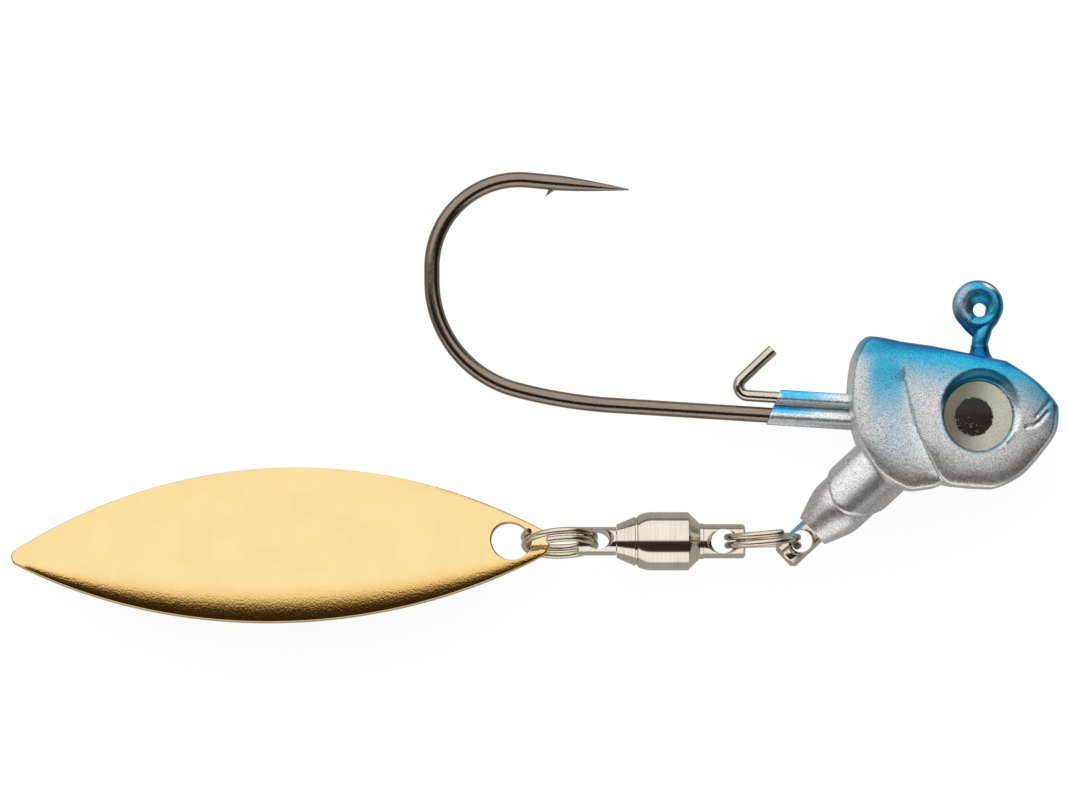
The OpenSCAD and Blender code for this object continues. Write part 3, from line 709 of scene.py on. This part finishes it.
bend_turn = np.linspace(0, KEEPER_TURN, 32) - math.pi / 2
bend_u = KEEPER_REACH + KEEPER_BEND_R * np.cos(bend_turn)
bend_w = KEEPER_RISE + KEEPER_BEND_R * (1 + np.sin(bend_turn))
keeper_bend = shank_point(bend_u, bend_w)
leg_dir = math.cos(KEEPER_TURN) * ALONG + math.sin(KEEPER_TURN) * ACROSS
leg_far = [0.3, 1, 2, 2.8, 3.3, KEEPER_LEG_L - KEEPER_END_ROUND / 2, KEEPER_LEG_L]
leg = keeper_bend[-1] + np.multiply.outer(leg_far, leg_dir)
keeper_root = shank_point(np.linspace(KEEPER_ROOT, KEEPER_REACH - 0.3, 20), np.full(20, KEEPER_RISE))
keeper_line = np.vstack([keeper_root, keeper_bend, leg])
keeper_radius = np.full(len(keeper_line), KEEPER_R)
keeper_radius[-2:] = [KEEPER_R - KEEPER_END_ROUND / 6, KEEPER_R - KEEPER_END_ROUND]
keeper_skin = closed_skin(sweep(flat(keeper_line), keeper_radius, 28))
make_piece("keeper_wire", [keeper_skin], DULL_NICKEL, "head", "bait_keeper")

# Head

SIZE = np.array([HEAD_L, HEAD_H]) / 100
gill_edge = smooth_loop(np.array(GILL_SHAPE) * SIZE, 20)
cheek_edge = smooth_loop(np.array(CHEEK_SHAPE) * SIZE, 20)
gill_mid = np.array([-33, 8]) * SIZE
cheek_mid = np.array([0, 4]) * SIZE
EYE_LOCAL = np.array([-3.2, 6.2]) * SIZE
EYE_AT = HEAD_AT + EYE_LOCAL
ARM_AT = HEAD_AT + np.array([-49.4, -29.6]) * SIZE
PUPIL_AT = EYE_AT - [0.33, 0.05]
PUPIL_EDGE = (1.47, 1.58)
MOUTH_LINE = [(5.05, 1.08), (4.44, 0.33), (3.94, -0.02), (3.31, -0.1)]
LIP_LINE = [(5.3, 2.0), (4.85, 1.52), (4.43, 1.03), (4.1, 0.7)]
CREASE_LINE = np.array(GILL_CREASE) * SIZE
BEAD_LINE = [(2.25, -0.45), (1.75, -1.15)]
# Lines on the face, each with its depth and width
FACE_LINES = ((MOUTH_LINE, 0.11, 0.1), (LIP_LINE, 0.05, 0.1), (BEAD_LINE, -0.06, 0.16))
DISH_LOCAL = EYE_LOCAL + [0.2, 0.5]
DISH_FLAT_R = 2.45
DISH_R = 3.35
DISH_DEPTH = 0.3
CREASE_DEPTH = 0.14
CREASE_FADE = 0.5
CREASE_HALF_W = 0.07
GILL_THICK_X = -0.3 * HEAD_L
GILL_BACK_L = 0.336 * HEAD_L
GILL_THINNING = 0.12
CHEEK_THICK_X = -0.14 * HEAD_L
CHEEK_FRONT_L = 0.506 * HEAD_L
CHEEK_BACK_L = 0.22 * HEAD_L
JAW_BEVEL = 4.5
JAW_FROM = 0.91
FACE_FALL_LOW = 0.1
FACE_FALL_HIGH = 0.025
FACE_TAPER = 0.013
EDGE_POWER = 84


def gill_half(x):
    """Half thickness of the gill plate at x, before its edge is rounded off."""
    back = np.maximum(0, GILL_THICK_X - x) / GILL_BACK_L
    return GILL_W / 2 * (1 - GILL_THINNING * back**2)


def cheek_half(x):
    """Half thickness of the cheek at x, before its edge is rounded off."""
    ahead = np.maximum(0, x - CHEEK_THICK_X) / CHEEK_FRONT_L
    behind = np.maximum(0, CHEEK_THICK_X - x) / CHEEK_BACK_L
    return HEAD_W / 2 - (HEAD_W - NOSE_W) / 2 * ahead**2 - (HEAD_W - GILL_W) / 2 * behind**2


EYE_Z = float(cheek_half(EYE_LOCAL[0])) - EYE_SINK


def eye_level(points):
    """Height of the eye seat's plane over points of the head's middle plane."""
    return EYE_Z - math.tan(EYE_LEAN) * (points[:, 0] - EYE_LOCAL[0])


def crease_join(points, gill, cheek):
    """Height of both lobes joined: the gill behind the crease's line, and the higher lobe beyond its ends.

    The gill also dips towards the line, by a depth that dies out behind it.
    """
    x, y = points.T
    line = CREASE_LINE[::-1]
    behind = np.interp(y, line[:, 1], line[:, 0]) - x
    span = between(-4.3, -3.4, 3.2, 4.8, y)
    gill_side = smooth_step(-CREASE_HALF_W, CREASE_HALF_W, behind)
    dip = CREASE_DEPTH * np.exp(-np.maximum(0, behind) / CREASE_FADE)
    joined = cheek + (gill - dip - cheek) * gill_side
    higher = np.maximum(gill, cheek)
    return higher + (joined - higher) * span


def head_height(points):
    """Half thickness of the head: two lobes, W (1 - f v^8) sqrt(1 - v^84), joined at the gill's crease.

    v runs from 0 in a lobe's middle to 1 at its edge. The jaw is bevelled, the mouth's lines are pressed in,
    the glue bead stands up, and each eye has a dish and a flat seat.
    """
    x, y = points.T
    fall = FACE_FALL_LOW + (FACE_FALL_HIGH - FACE_FALL_LOW) * smooth_step(-3.2, -0.8, y)
    jaw = smooth_step(1.5, 3.5, x) * (1 - smooth_step(0.5, 2.0, y))
    lobes = []
    for edge, mid, half in ((gill_edge, gill_mid, gill_half), (cheek_edge, cheek_mid, cheek_half)):
        v = np.clip(edge_share(edge, mid, points), 0, 1)
        bevel = JAW_BEVEL * jaw * np.maximum(0, v - JAW_FROM)
        lobes.append((half(x) * (1 - fall * v**8) - bevel) * np.sqrt(1 - v**EDGE_POWER))
    height = crease_join(points, *lobes) * (1 - FACE_TAPER * (y - 0.5))
    for line, depth, width in FACE_LINES:
        height = height - depth * bell(line_distance(points, line), width) * smooth_step(0, 0.8, height)
    seat = np.linalg.norm(points - EYE_LOCAL, axis=1)
    dish = np.linalg.norm(points - DISH_LOCAL, axis=1)
    height = height - DISH_DEPTH * (1 - smooth_step(DISH_FLAT_R, DISH_R, dish))
    return np.where(seat < EYE_R + 0.02, eye_level(points) - 0.05, height)


def head_skin(turns=480, rings=96):
    """Both sides of the head: rays from a middle point to the outline, with s = sin(pi t / 2) along each."""
    middle = np.array([-3.6, 1.0])
    angles = np.linspace(0, 2 * np.pi, turns, endpoint=False)
    reach = np.maximum(ray_exit(gill_edge, middle, angles), ray_exit(cheek_edge, middle, angles))
    s = np.sin(np.linspace(0.012, 1, rings) * np.pi / 2)
    rim = reach[:, None] * np.stack([np.cos(angles), np.sin(angles)], -1)
    points = (middle + s[:, None, None] * rim).reshape(-1, 2)
    height = head_height(points).reshape(rings, turns)
    height[-1] = 0
    plane = (points + HEAD_AT).reshape(rings, turns, 2)
    near = np.concatenate([plane, height[..., None]], -1)
    far = np.concatenate([plane, -height[..., None]], -1)[-2::-1]
    return closed_skin(np.concatenate([near, far]))


def collar_skin():
    """Paint and metal round shank and keeper: a section of two rounds and a web, drawn along the shank."""
    a = np.linspace(0, 2 * np.pi, 72, endpoint=False)
    radii = []
    for w, r in ((-COLLAR_MID, HOOK_R + COLLAR_T), (KEEPER_RISE - COLLAR_MID, KEEPER_R + COLLAR_T)):
        s = w * np.sin(a)
        inside = s * s - w * w + r * r
        radii.append(np.where(inside > 0, s + np.sqrt(np.maximum(inside, 0)), 0))
    web = COLLAR_WEB / np.maximum(np.abs(np.cos(a)), 0.25)
    reach = np.maximum(np.maximum(*radii), web)
    u = np.concatenate([np.linspace(COLLAR_FROM, COLLAR_L - 0.15, 30), [COLLAR_L - 0.05, COLLAR_L]])
    shrink = np.ones(len(u))
    shrink[-2:] = [0.99, 0.955]
    w = COLLAR_MID + shrink[:, None] * reach * np.sin(a)
    z = shrink[:, None] * reach * np.cos(a)
    slant = -COLLAR_SLANT * (w - COLLAR_MID)
    ahead = np.broadcast_to(u[:, None], w.shape) + slant * smooth_step(12, COLLAR_L, u)[:, None]
    xy = CORNER + ahead[..., None] * ALONG + w[..., None] * ACROSS
    return closed_skin(np.concatenate([xy, z[..., None]], -1))


def neck_skin():
    """Paint that runs up the stem: a turned fillet whose radius falls as the square of the height left."""
    h = np.linspace(NECK_BOTTOM, NECK_TOP, 30)
    r = PAINTED_R + 0.02 + NECK_FLARE * np.clip((0.3 - h) / NECK_H, 0, 1.6) ** 2
    grid = revolve(np.column_stack([r, h]), 48)
    grid = turned(grid, -math.pi / 2, "X")
    return closed_skin(grid + [0, HEAD_AT[1] + 0.5 * HEAD_H, 0])


def tie_skins():
    """Painted line tie: a wire up the stem, round the eye and back, and a funnel round the hole."""
    loop = arc(TIE_AT, TIE_RING_R, *TIE_LOOP, 30)
    line = smooth_path(np.vstack([TIE_RISE, loop, TIE_FALL]), 6)
    far = np.cumsum(np.linalg.norm(np.diff(line, axis=0, prepend=line[:1]), axis=1))
    left = far[-1] - far
    stem_thinning = TIE_STEM_THINNING * (1 - smooth_step(1.2, 2.6, far))
    neck_thinning = TIE_NECK_THINNING * bell(far - 3.7, 0.7)
    end_thinning = TIE_END_THINNING * (1 - smooth_step(0.1, 1.9, left))
    radius = PAINTED_R - stem_thinning - neck_thinning - end_thinning
    sides = 96
    a = np.linspace(0, 2 * np.pi, sides, endpoint=False)
    out = np.stack([np.cos(a), np.sin(a)], -1)
    hole = TIE_HOLE_R * out
    rim = TIE_AT + (TIE_RING_R + 0.35) * out
    s = np.linspace(0, 1, 24)
    lip = TIE_WEB_T / 2
    face = lip + (PAINTED_R - 0.02 - lip) * np.sin(np.pi * np.clip(s / 0.7, 0, 1.45) / 2)
    across = np.concatenate([s[::-1], [0.01, 0, 0, 0.01], s])
    level = np.concatenate([face[::-1], [lip - 0.04, lip - 0.1, 0.1 - lip, 0.04 - lip], -face])
    web_xy = hole + across[:, None, None] * (rim - hole)
    web = np.concatenate([web_xy, np.broadcast_to(level[:, None, None], (len(level), sides, 1))], -1)
    return [closed_skin(sweep(flat(line), radius, 48)), ring_skin(web)]


def arm_point(grid):
    """Points with Z along the arm and X across it, put on the head."""
    s, t, z = grid[..., 2], grid[..., 0], grid[..., 1]
    ahead = np.array([-math.cos(ARM_ANGLE), -math.sin(ARM_ANGLE)])
    across = np.array([math.sin(ARM_ANGLE), -math.cos(ARM_ANGLE)])
    xy = ARM_AT + s[..., None] * ahead + t[..., None] * across
    return np.concatenate([xy, z[..., None]], -1)


def arm_skins():
    """Arm: a turned lower segment, and an upper one that ends in a tongue, sqrt(1 - (t / w)^2) along it."""
    profile = np.vstack([(ARM_R, -ARM_ROOT), ARM_PROFILE[:, ::-1] * [ARM_R, ARM_L]])
    lower = revolve(profile, 64)
    v = np.linspace(0, 2 * np.pi, 96, endpoint=False)
    r = ARM_R + ARM_STEP
    t = r * np.cos(v)
    bulge = np.sqrt(np.clip(1 - ((t + TONGUE_OFF) / TONGUE_HALF_W) ** 2, 0, 1))
    end = (TONGUE_FROM + TONGUE_L * bulge) * ARM_L
    u = np.concatenate([np.linspace(0, 0.93, 20), [0.96, 0.985, 1.0, 1.0]])
    shell = np.concatenate([np.ones(21), [0.985, 0.955, 0.86]])
    along = -ARM_ROOT + u[:, None] * (end + ARM_ROOT)
    upper = np.stack([shell[:, None] * t, shell[:, None] * r * np.sin(v), along], -1)
    return [closed_skin(arm_point(lower)), closed_skin(arm_point(upper))]


# Paint marks: places on the head, and shares of blue or of painted shade

# Line of the back, and how far below it the blue reaches and how strong it starts, by X
BACK_LINE = np.array([
    (-10.6, 7.1), (-8.5, 6.95), (-5.2, 6.5), (-1.5, 5.95), (0.9, 5.4), (2.5, 4.6), (4.2, 3.5), (5.6, 2.1),
    (6.1, 1.1),
])
BACK_REACH = np.array([(-10.6, 2.4), (-9.4, 3.3), (-8, 4.2), (6, 4.4)])
BACK_BLUE = np.array([(0, 1.04), (3, 0.88)])
CREST_BLUE_AND_SHADE = 0.45
CREST_REACH = 0.9
STREAK_X = -7.7
STREAK_BLUE = 0.86
HAZE_X = -7.0
HAZE_BLUE = 0.32
EYE_RING_BLUE = 0.5
TIE_BLUE = 0.9
SOCKET_SHADE_BLUE = 0.9
ROD_BLUE = 0.88
STEM_REACH = 2.4
VALLEY_W = 0.82
RIM_PAINTED_SHADE = 0.8
JAW_PAINTED_SHADE = 0.5
STEM_DARK = 0.35
SOCKET_PAINTED_SHADE = 0.78
FLANK_PAINTED_SHADE = 0.65
CHIP_TURN = 60
CHIP_SPREAD = 26


def socket_share(points):
    """1 in the upper part of the eye's dish, where shade is painted in as dark blue, and 0 outside it."""
    x, y = (points[:, :2] - HEAD_AT).T
    dish = np.hypot(x - DISH_LOCAL[0], y - DISH_LOCAL[1])
    return (1 - smooth_step(3.0, 3.45, dish)) * smooth_step(1.2, 2.6, y - EYE_LOCAL[1] - 0.3 * x)


def blue_share(points):
    """How blue the paint is: along the back, down the gill plate, round the eye and over the line tie."""
    x, y = (points[:, :2] - HEAD_AT).T
    below = np.interp(x, *BACK_LINE.T) - y
    back = np.clip(np.interp(x, *BACK_BLUE.T) - below / np.interp(x, *BACK_REACH.T), 0, 1)
    # The crest adds the paint's blue along the back's top edge, and past full blue it adds painted shade, as
    # a deeper blue
    crest = between(-10.4, -7, 1.5, 3.5, x)
    back = back + CREST_BLUE_AND_SHADE * crest * np.exp(-np.maximum(0, below) / CREST_REACH)
    by_stem = np.abs(x) < STEM_REACH
    back = back * np.where(by_stem, 1 - smooth_step(6.2, 6.6, y), 1)
    streak = STREAK_BLUE * bell(x - STREAK_X, 1.7, 4) * smooth_step(-2.2, 4.6, y)
    haze = HAZE_BLUE * bell(x - HAZE_X, 2.0) * smooth_step(-5, -1, y)
    eye_gap = np.hypot(x - EYE_LOCAL[0], y - EYE_LOCAL[1]) - EYE_R
    eye_ring = EYE_RING_BLUE * bell(eye_gap - 0.08, 0.14)
    # Painted light: the left side of the line tie's loop, which light from the left falls on, is made paler
    # and less blue
    painted_light_left = (1 - smooth_step(-1.5, -0.2, x)) * smooth_step(7.0, 9.0, y)
    tie = by_stem * smooth_step(5.4, 6.0, y) * TIE_BLUE * (1 - 0.5 * painted_light_left)
    # Painted shade: the upper part of the eye's dish is made blue as well as dark
    socket = SOCKET_SHADE_BLUE * socket_share(points)
    return np.maximum.reduce([back, streak, haze, eye_ring, tie, socket])


def rod_blue(points):
    """How blue the collar is: on top of both rods, and less towards the head."""
    u, w = shank_place(points)
    lower = ROD_BLUE * smooth_step(0.0, 0.4, w) * (w < 0.8) * smooth_step(11.0, 15.6, u)
    upper = ROD_BLUE * smooth_step(1.2, 1.6, w) * between(9.5, 14.8, 16.05, 16.15, u)
    # Painted shade: the shade in the valley between the rods is also made bluer
    valley = 0.6 * valley_shade(points) * (np.abs(w - VALLEY_W) < 0.2)
    by_head = blue_share(points) * (u < 9)
    return np.maximum.reduce([lower, upper, valley, by_head])


def valley_shade(points):
    """How much shade is painted in the valley between the collar's rods, and below each rod."""
    u, w = shank_place(points)
    valley = bell(w - VALLEY_W, 0.13)
    flanks = bell(w + 0.38, 0.2) + bell(w - 1.15, 0.14)
    return np.maximum(valley, FLANK_PAINTED_SHADE * flanks) * smooth_step(9.5, 10.5, u)


def rim_shade(points):
    """How much shade is painted in: round each eye, in the upper part of its dish and along the jaw; and how
    much darker the paint is up the stem.
    """
    x, y = (points[:, :2] - HEAD_AT - EYE_LOCAL).T
    # Painted shadow round the lower part of each eye's rim, and painted shade along the jaw's bevelled edge
    rim = RIM_PAINTED_SHADE * bell(np.hypot(x, y) - EYE_R - 0.06, 0.12) * (1 - smooth_step(0.5, 2.5, y))
    v = edge_share(cheek_edge, cheek_mid, points[:, :2] - HEAD_AT)
    low_front = smooth_step(2.0, 3.5, x) * (1 - smooth_step(-0.5, 1.5, y))
    jaw = JAW_PAINTED_SHADE * smooth_step(0.94, 0.965, v) * low_front
    stem = STEM_DARK * smooth_step(4.7, 5.4, y)
    return np.maximum.reduce([rim, jaw, stem, SOCKET_PAINTED_SHADE * socket_share(points)])


def chip_share(points):
    """Where paint has chipped off the upper right of the line tie: 0.5 is bare metal, and 1 its dark edge."""
    x, y = (points[:, :2] - TIE_AT).T
    turn = np.degrees(np.arctan2(y, x))
    reach = np.hypot(x, y)
    inner = 1.62 + 0.4 * ((turn - CHIP_TURN) / CHIP_SPREAD) ** 2
    bare = smooth_step(inner, inner + 0.06, reach) * (turn > 0)
    return 0.5 * bare * (1 + smooth_step(1.88, 1.94, reach))


paint_marks = {"blue": blue_share, "chip": chip_share, "shade": rim_shade}
rod_marks = {"blue": rod_blue, "chip": chip_share, "shade": valley_shade}
head_skins = [head_skin(), neck_skin()]
make_piece("head_paint", head_skins, PAINT, "head", "head_casting", sharp=60, marks=paint_marks)
make_piece("collar_paint", [collar_skin()], PAINT, "head", "head_casting", marks=rod_marks)
make_piece("arm_paint", arm_skins(), PAINT, "head", "head_casting", marks=paint_marks)
make_piece("tie_paint", tie_skins(), PAINT, "head", "hook", marks=paint_marks)

# Eyes


def on_eye(grid, side):
    """Points of an eye, with Z out of the cheek, put in the near (1) or far (-1) socket."""
    out = turned(grid, EYE_LEAN, "Y") + [EYE_AT[0], EYE_AT[1], EYE_Z]
    return out * [1, 1, side]


IRIS = new_finish("iris_print", iris)
RESIN = new_finish("clear_resin", clear_resin)
dome_r = (EYE_R**2 + EYE_DOME_H**2) / (2 * EYE_DOME_H)
dome_turn = np.linspace(0.02, math.asin(EYE_R / dome_r), 24)
dome_base = EYE_FILM_T + 0.01
dome_top = dome_base + EYE_RIM_H + EYE_DOME_H
dome_profile = np.vstack([
    np.column_stack([dome_r * np.sin(dome_turn), dome_top - dome_r * (1 - np.cos(dome_turn))]),
    [(EYE_R, dome_base + 0.05), (EYE_R - 0.04, dome_base), (0.1, dome_base)],
])
film_profile = [
    (0.05, EYE_FILM_T), (EYE_R - 0.03, EYE_FILM_T), (EYE_R, EYE_FILM_T - 0.03), (EYE_R, 0.02), (0.05, 0),
]
for label, side in (("near", 1), ("far", -1)):
    dome = closed_skin(on_eye(revolve(dome_profile, 96), side))
    film = closed_skin(on_eye(revolve(film_profile, 96), side))
    make_piece(label + "_dome", [dome], RESIN, "head", label + "_eye_dome")
    make_piece(label + "_iris", [film], IRIS, "head", label + "_eye_film")

# Chain


def split_ring(start):
    """Two-turn ring: x = R cos a, z = R sin a, and y falls one pitch a turn; the tilt levels the chain."""
    a = np.radians(np.linspace(start, start + RING_ANGLE, 340))
    y = RING_PITCH * (RING_MIDDLE - a) / (2 * math.pi)
    line = np.stack([RING_R * np.cos(a), y, RING_R * np.sin(a)], -1)
    radius = np.full(len(a), RING_WIRE_R)
    radius[[0, -1]] = RING_END_SHARE * RING_WIRE_R
    return turned(sweep(line, radius, 24, up=(0, 1, 0)), RING_TILT, "Z")


front_ring = split_ring(FRONT_RING_START) + FRONT_RING_AT
rear_ring = turned(split_ring(REAR_RING_START), -BLADE_ROLL, "X") + REAR_RING_AT
for body, ring in (("front_ring", front_ring), ("rear_ring", rear_ring)):
    node = body.replace("_ring", "_split_ring")
    make_piece(body + "_wire", [closed_skin(ring)], RING_STEEL, body, node)
merged_copy("hanger_eye", DAUBED_NICKEL, "head", 0.05)
merged_copy("swivel_barrel", TURNED_NICKEL, "barrel", 0.05)
merged_copy("swivel_cap", TURNED_NICKEL, "barrel", 0.03)
merged_copy("swivel_shaft", NICKEL, "shaft", 0.05)
merged_copy("thrust_collar", BEARING_STEEL, "shaft", 0.03)
merged_copy("bearing_balls", BEARING_STEEL, "barrel", 0)

# Blade


def side_r(run, end_r):
    """Radius of a side arc that covers the length run and touches a round end."""
    return (run * (run - 2 * end_r) + BLADE_HALF_W**2) / (2 * (BLADE_HALF_W - end_r))


def blade_outline(count):
    """Outline of the blade from its hole's middle, tip to the left, as evenly spaced points."""
    tail = BLADE_L - BLADE_BELLY
    belly_x = BLADE_HOLE_INSET - tail
    tip_side, end_side = side_r(BLADE_BELLY, BLADE_TIP_R), side_r(tail, BLADE_END_R)
    tip_turn = math.atan2(BLADE_BELLY - BLADE_TIP_R, tip_side - BLADE_HALF_W)
    end_turn = math.atan2(tail - BLADE_END_R, end_side - BLADE_HALF_W)
    quarter = math.pi / 2
    upper = np.vstack([
        arc((belly_x - BLADE_BELLY + BLADE_TIP_R, 0), BLADE_TIP_R, math.pi, quarter + tip_turn, 40),
        arc((belly_x, BLADE_HALF_W - tip_side), tip_side, quarter + tip_turn, quarter, 200)[1:],
        arc((belly_x, BLADE_HALF_W - end_side), end_side, quarter, quarter - end_turn, 200)[1:],
        arc((BLADE_HOLE_INSET - BLADE_END_R, 0), BLADE_END_R, quarter - end_turn, 0, 60)[1:],
    ])
    loop = np.vstack([upper, (upper * [1, -1])[-2::-1]])
    length = np.concatenate([[0], np.cumsum(np.linalg.norm(np.diff(loop, axis=0), axis=1))])
    even = np.linspace(0, length[-1], count, endpoint=False)
    return np.stack([np.interp(even, length, loop[:, 0]), np.interp(even, length, loop[:, 1])], -1)


def blade_half(x):
    """Half width of the blade's outline at x, by its side arcs, and no less than that of its narrow ends."""
    tail = BLADE_L - BLADE_BELLY
    run = x - (BLADE_HOLE_INSET - tail)
    side = np.where(run < 0, side_r(BLADE_BELLY, BLADE_TIP_R), side_r(tail, BLADE_END_R))
    return np.maximum(BLADE_HALF_W - side + np.sqrt(side**2 - run**2), BLADE_LEAST_HALF)


def blade_height(xy, level):
    """Height of the sheet, bowed along X and cupped across Y by a radius that follows its width.

    level runs from 0, its hollow, to 1, its back.
    """
    belly_x = BLADE_HOLE_INSET - (BLADE_L - BLADE_BELLY)
    drop = BLADE_BOW_R - math.sqrt(BLADE_BOW_R**2 - belly_x**2)
    base = BLADE_T / 2 + drop - BLADE_BOW_R
    cup_r = BLADE_CUP_R * blade_half(xy[..., 0]) / BLADE_HALF_W
    cup = cup_r - BLADE_T * (1 - level)
    reach = BLADE_BOW_R - cup_r + np.sqrt(cup**2 - xy[..., 1] ** 2)
    return base + np.sqrt(reach**2 - (xy[..., 0] - belly_x) ** 2)


def low_share(points):
    """Share of the way from the blade's middle line to its lower edge."""
    level = turned(points - BLADE_AT, BLADE_ROLL, "X")
    level = turned(level, -BLADE_DROOP, "Z")
    return -level[:, 1] / blade_half(level[:, 0])


def blade_skin(count=640):
    """Blade: rows run from the hole's rim over the back, round the edge and back through the hollow."""
    edge = blade_outline(count)
    out = unit(edge)
    hole = BLADE_HOLE_R * out
    span = np.linalg.norm(edge - hole, axis=1)
    turn = np.linspace(0, math.pi / 2, 5)
    to_edge, to_face = 1 - np.sin(turn), 1 - np.cos(turn)
    inset = BLADE_EDGE_ROUND * np.concatenate([to_edge, to_face])
    level = np.concatenate([1 - BLADE_EDGE_ROUND / BLADE_T * to_face, BLADE_EDGE_ROUND / BLADE_T * to_edge])
    share = np.sin(np.linspace(0, 1, 34)[1:-1] * np.pi / 2)
    across = share[:, None] * (span - 2 * BLADE_EDGE_ROUND) + BLADE_EDGE_ROUND
    hole_rim = np.repeat(inset[::-1, None], count, 1)
    distance = np.concatenate([hole_rim, across, span - inset[:, None], across[::-1]])
    back, hollow = np.ones(len(share)), np.zeros(len(share))
    levels = np.concatenate([level[::-1], back, level, hollow])
    xy = hole + distance[..., None] * out
    grid = np.concatenate([xy, blade_height(xy, levels[:, None])[..., None]], -1)
    grid = turned(turned(grid, BLADE_DROOP, "Z"), -BLADE_ROLL, "X")
    return ring_skin(grid + BLADE_AT)


# The low mark places the painted reflection along the blade's lower edge
make_piece("blade_sheet", [blade_skin()], GOLD, "blade", "blade", marks={"low": low_share})

# Studio

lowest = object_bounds()[0].z


def studio_floor(tree):
    """Pale floor: white to the camera but for the object's own shadow, and dim in reflections."""
    lit = tree.node("ShaderNodeBsdfDiffuse", {"Color": (0.9, 0.9, 0.9, 1)})
    ray = tree.node("ShaderNodeLightPath")
    mirrored = ray.output("Is Glossy Ray")
    glow = tree.mix(mirrored, FLOOR_GLOW, FLOOR_MIRRORED)
    white = tree.node("ShaderNodeEmission", {"Color": glow})
    seen = (ray.output("Is Camera Ray") + ray.output("Is Transmission Ray") + mirrored) * FLOOR_SHOWN
    return tree.node("ShaderNodeMixShader", {0: seen, 1: lit, 2: white})


bpy.ops.mesh.primitive_plane_add(size=FLOOR_SIZE, location=(0, 0, lowest - FLOOR_GAP * MM))
floor = bpy.context.object
floor.name = "floor"
floor.data.materials.append(new_finish("studio_floor", studio_floor))

world = bpy.data.worlds.new("studio")
bpy.context.scene.world = world
sky = Tree(world)
way = sky.node("ShaderNodeTexCoord").output("Generated")
way_x, way_y, way_z = sky.axes(way)
lean = sky.node("ShaderNodeMath", {0: way_y * -1.0, 1: way_z}, operation="ARCTAN2") * (180 / math.pi)
glow = (lean.band(*FAR_BOX) + lean.band(*NEAR_BOX)) * way_x.band(*BOX_WIDTH)
left_box = (way_x * -1.0).ramp(0.85, 0.97) * way_z.ramp(0.0, 0.2) * 0.6
lit_sky = sky.mix(glow + left_box, SKY_DARK, SKY_LIT)
rays = sky.node("ShaderNodeLightPath")
sky_colour = sky.mix(rays.output("Is Camera Ray"), lit_sky, (1, 1, 1, 1))
backdrop = sky.node("ShaderNodeBackground", {"Color": sky_colour, "Strength": 1.0})
sky.node("ShaderNodeOutputWorld", {"Surface": backdrop})

camera = bpy.data.objects.new("camera", bpy.data.cameras.new("camera"))
bpy.context.scene.collection.objects.link(camera)
camera.location = [value * MM for value in CAMERA_AT]
camera.data.lens = LENS
camera.data.sensor_width = SENSOR_W
camera.data.clip_start = 0.01
bpy.context.scene.camera = camera
bpy.context.scene.view_settings.view_transform = "Standard"
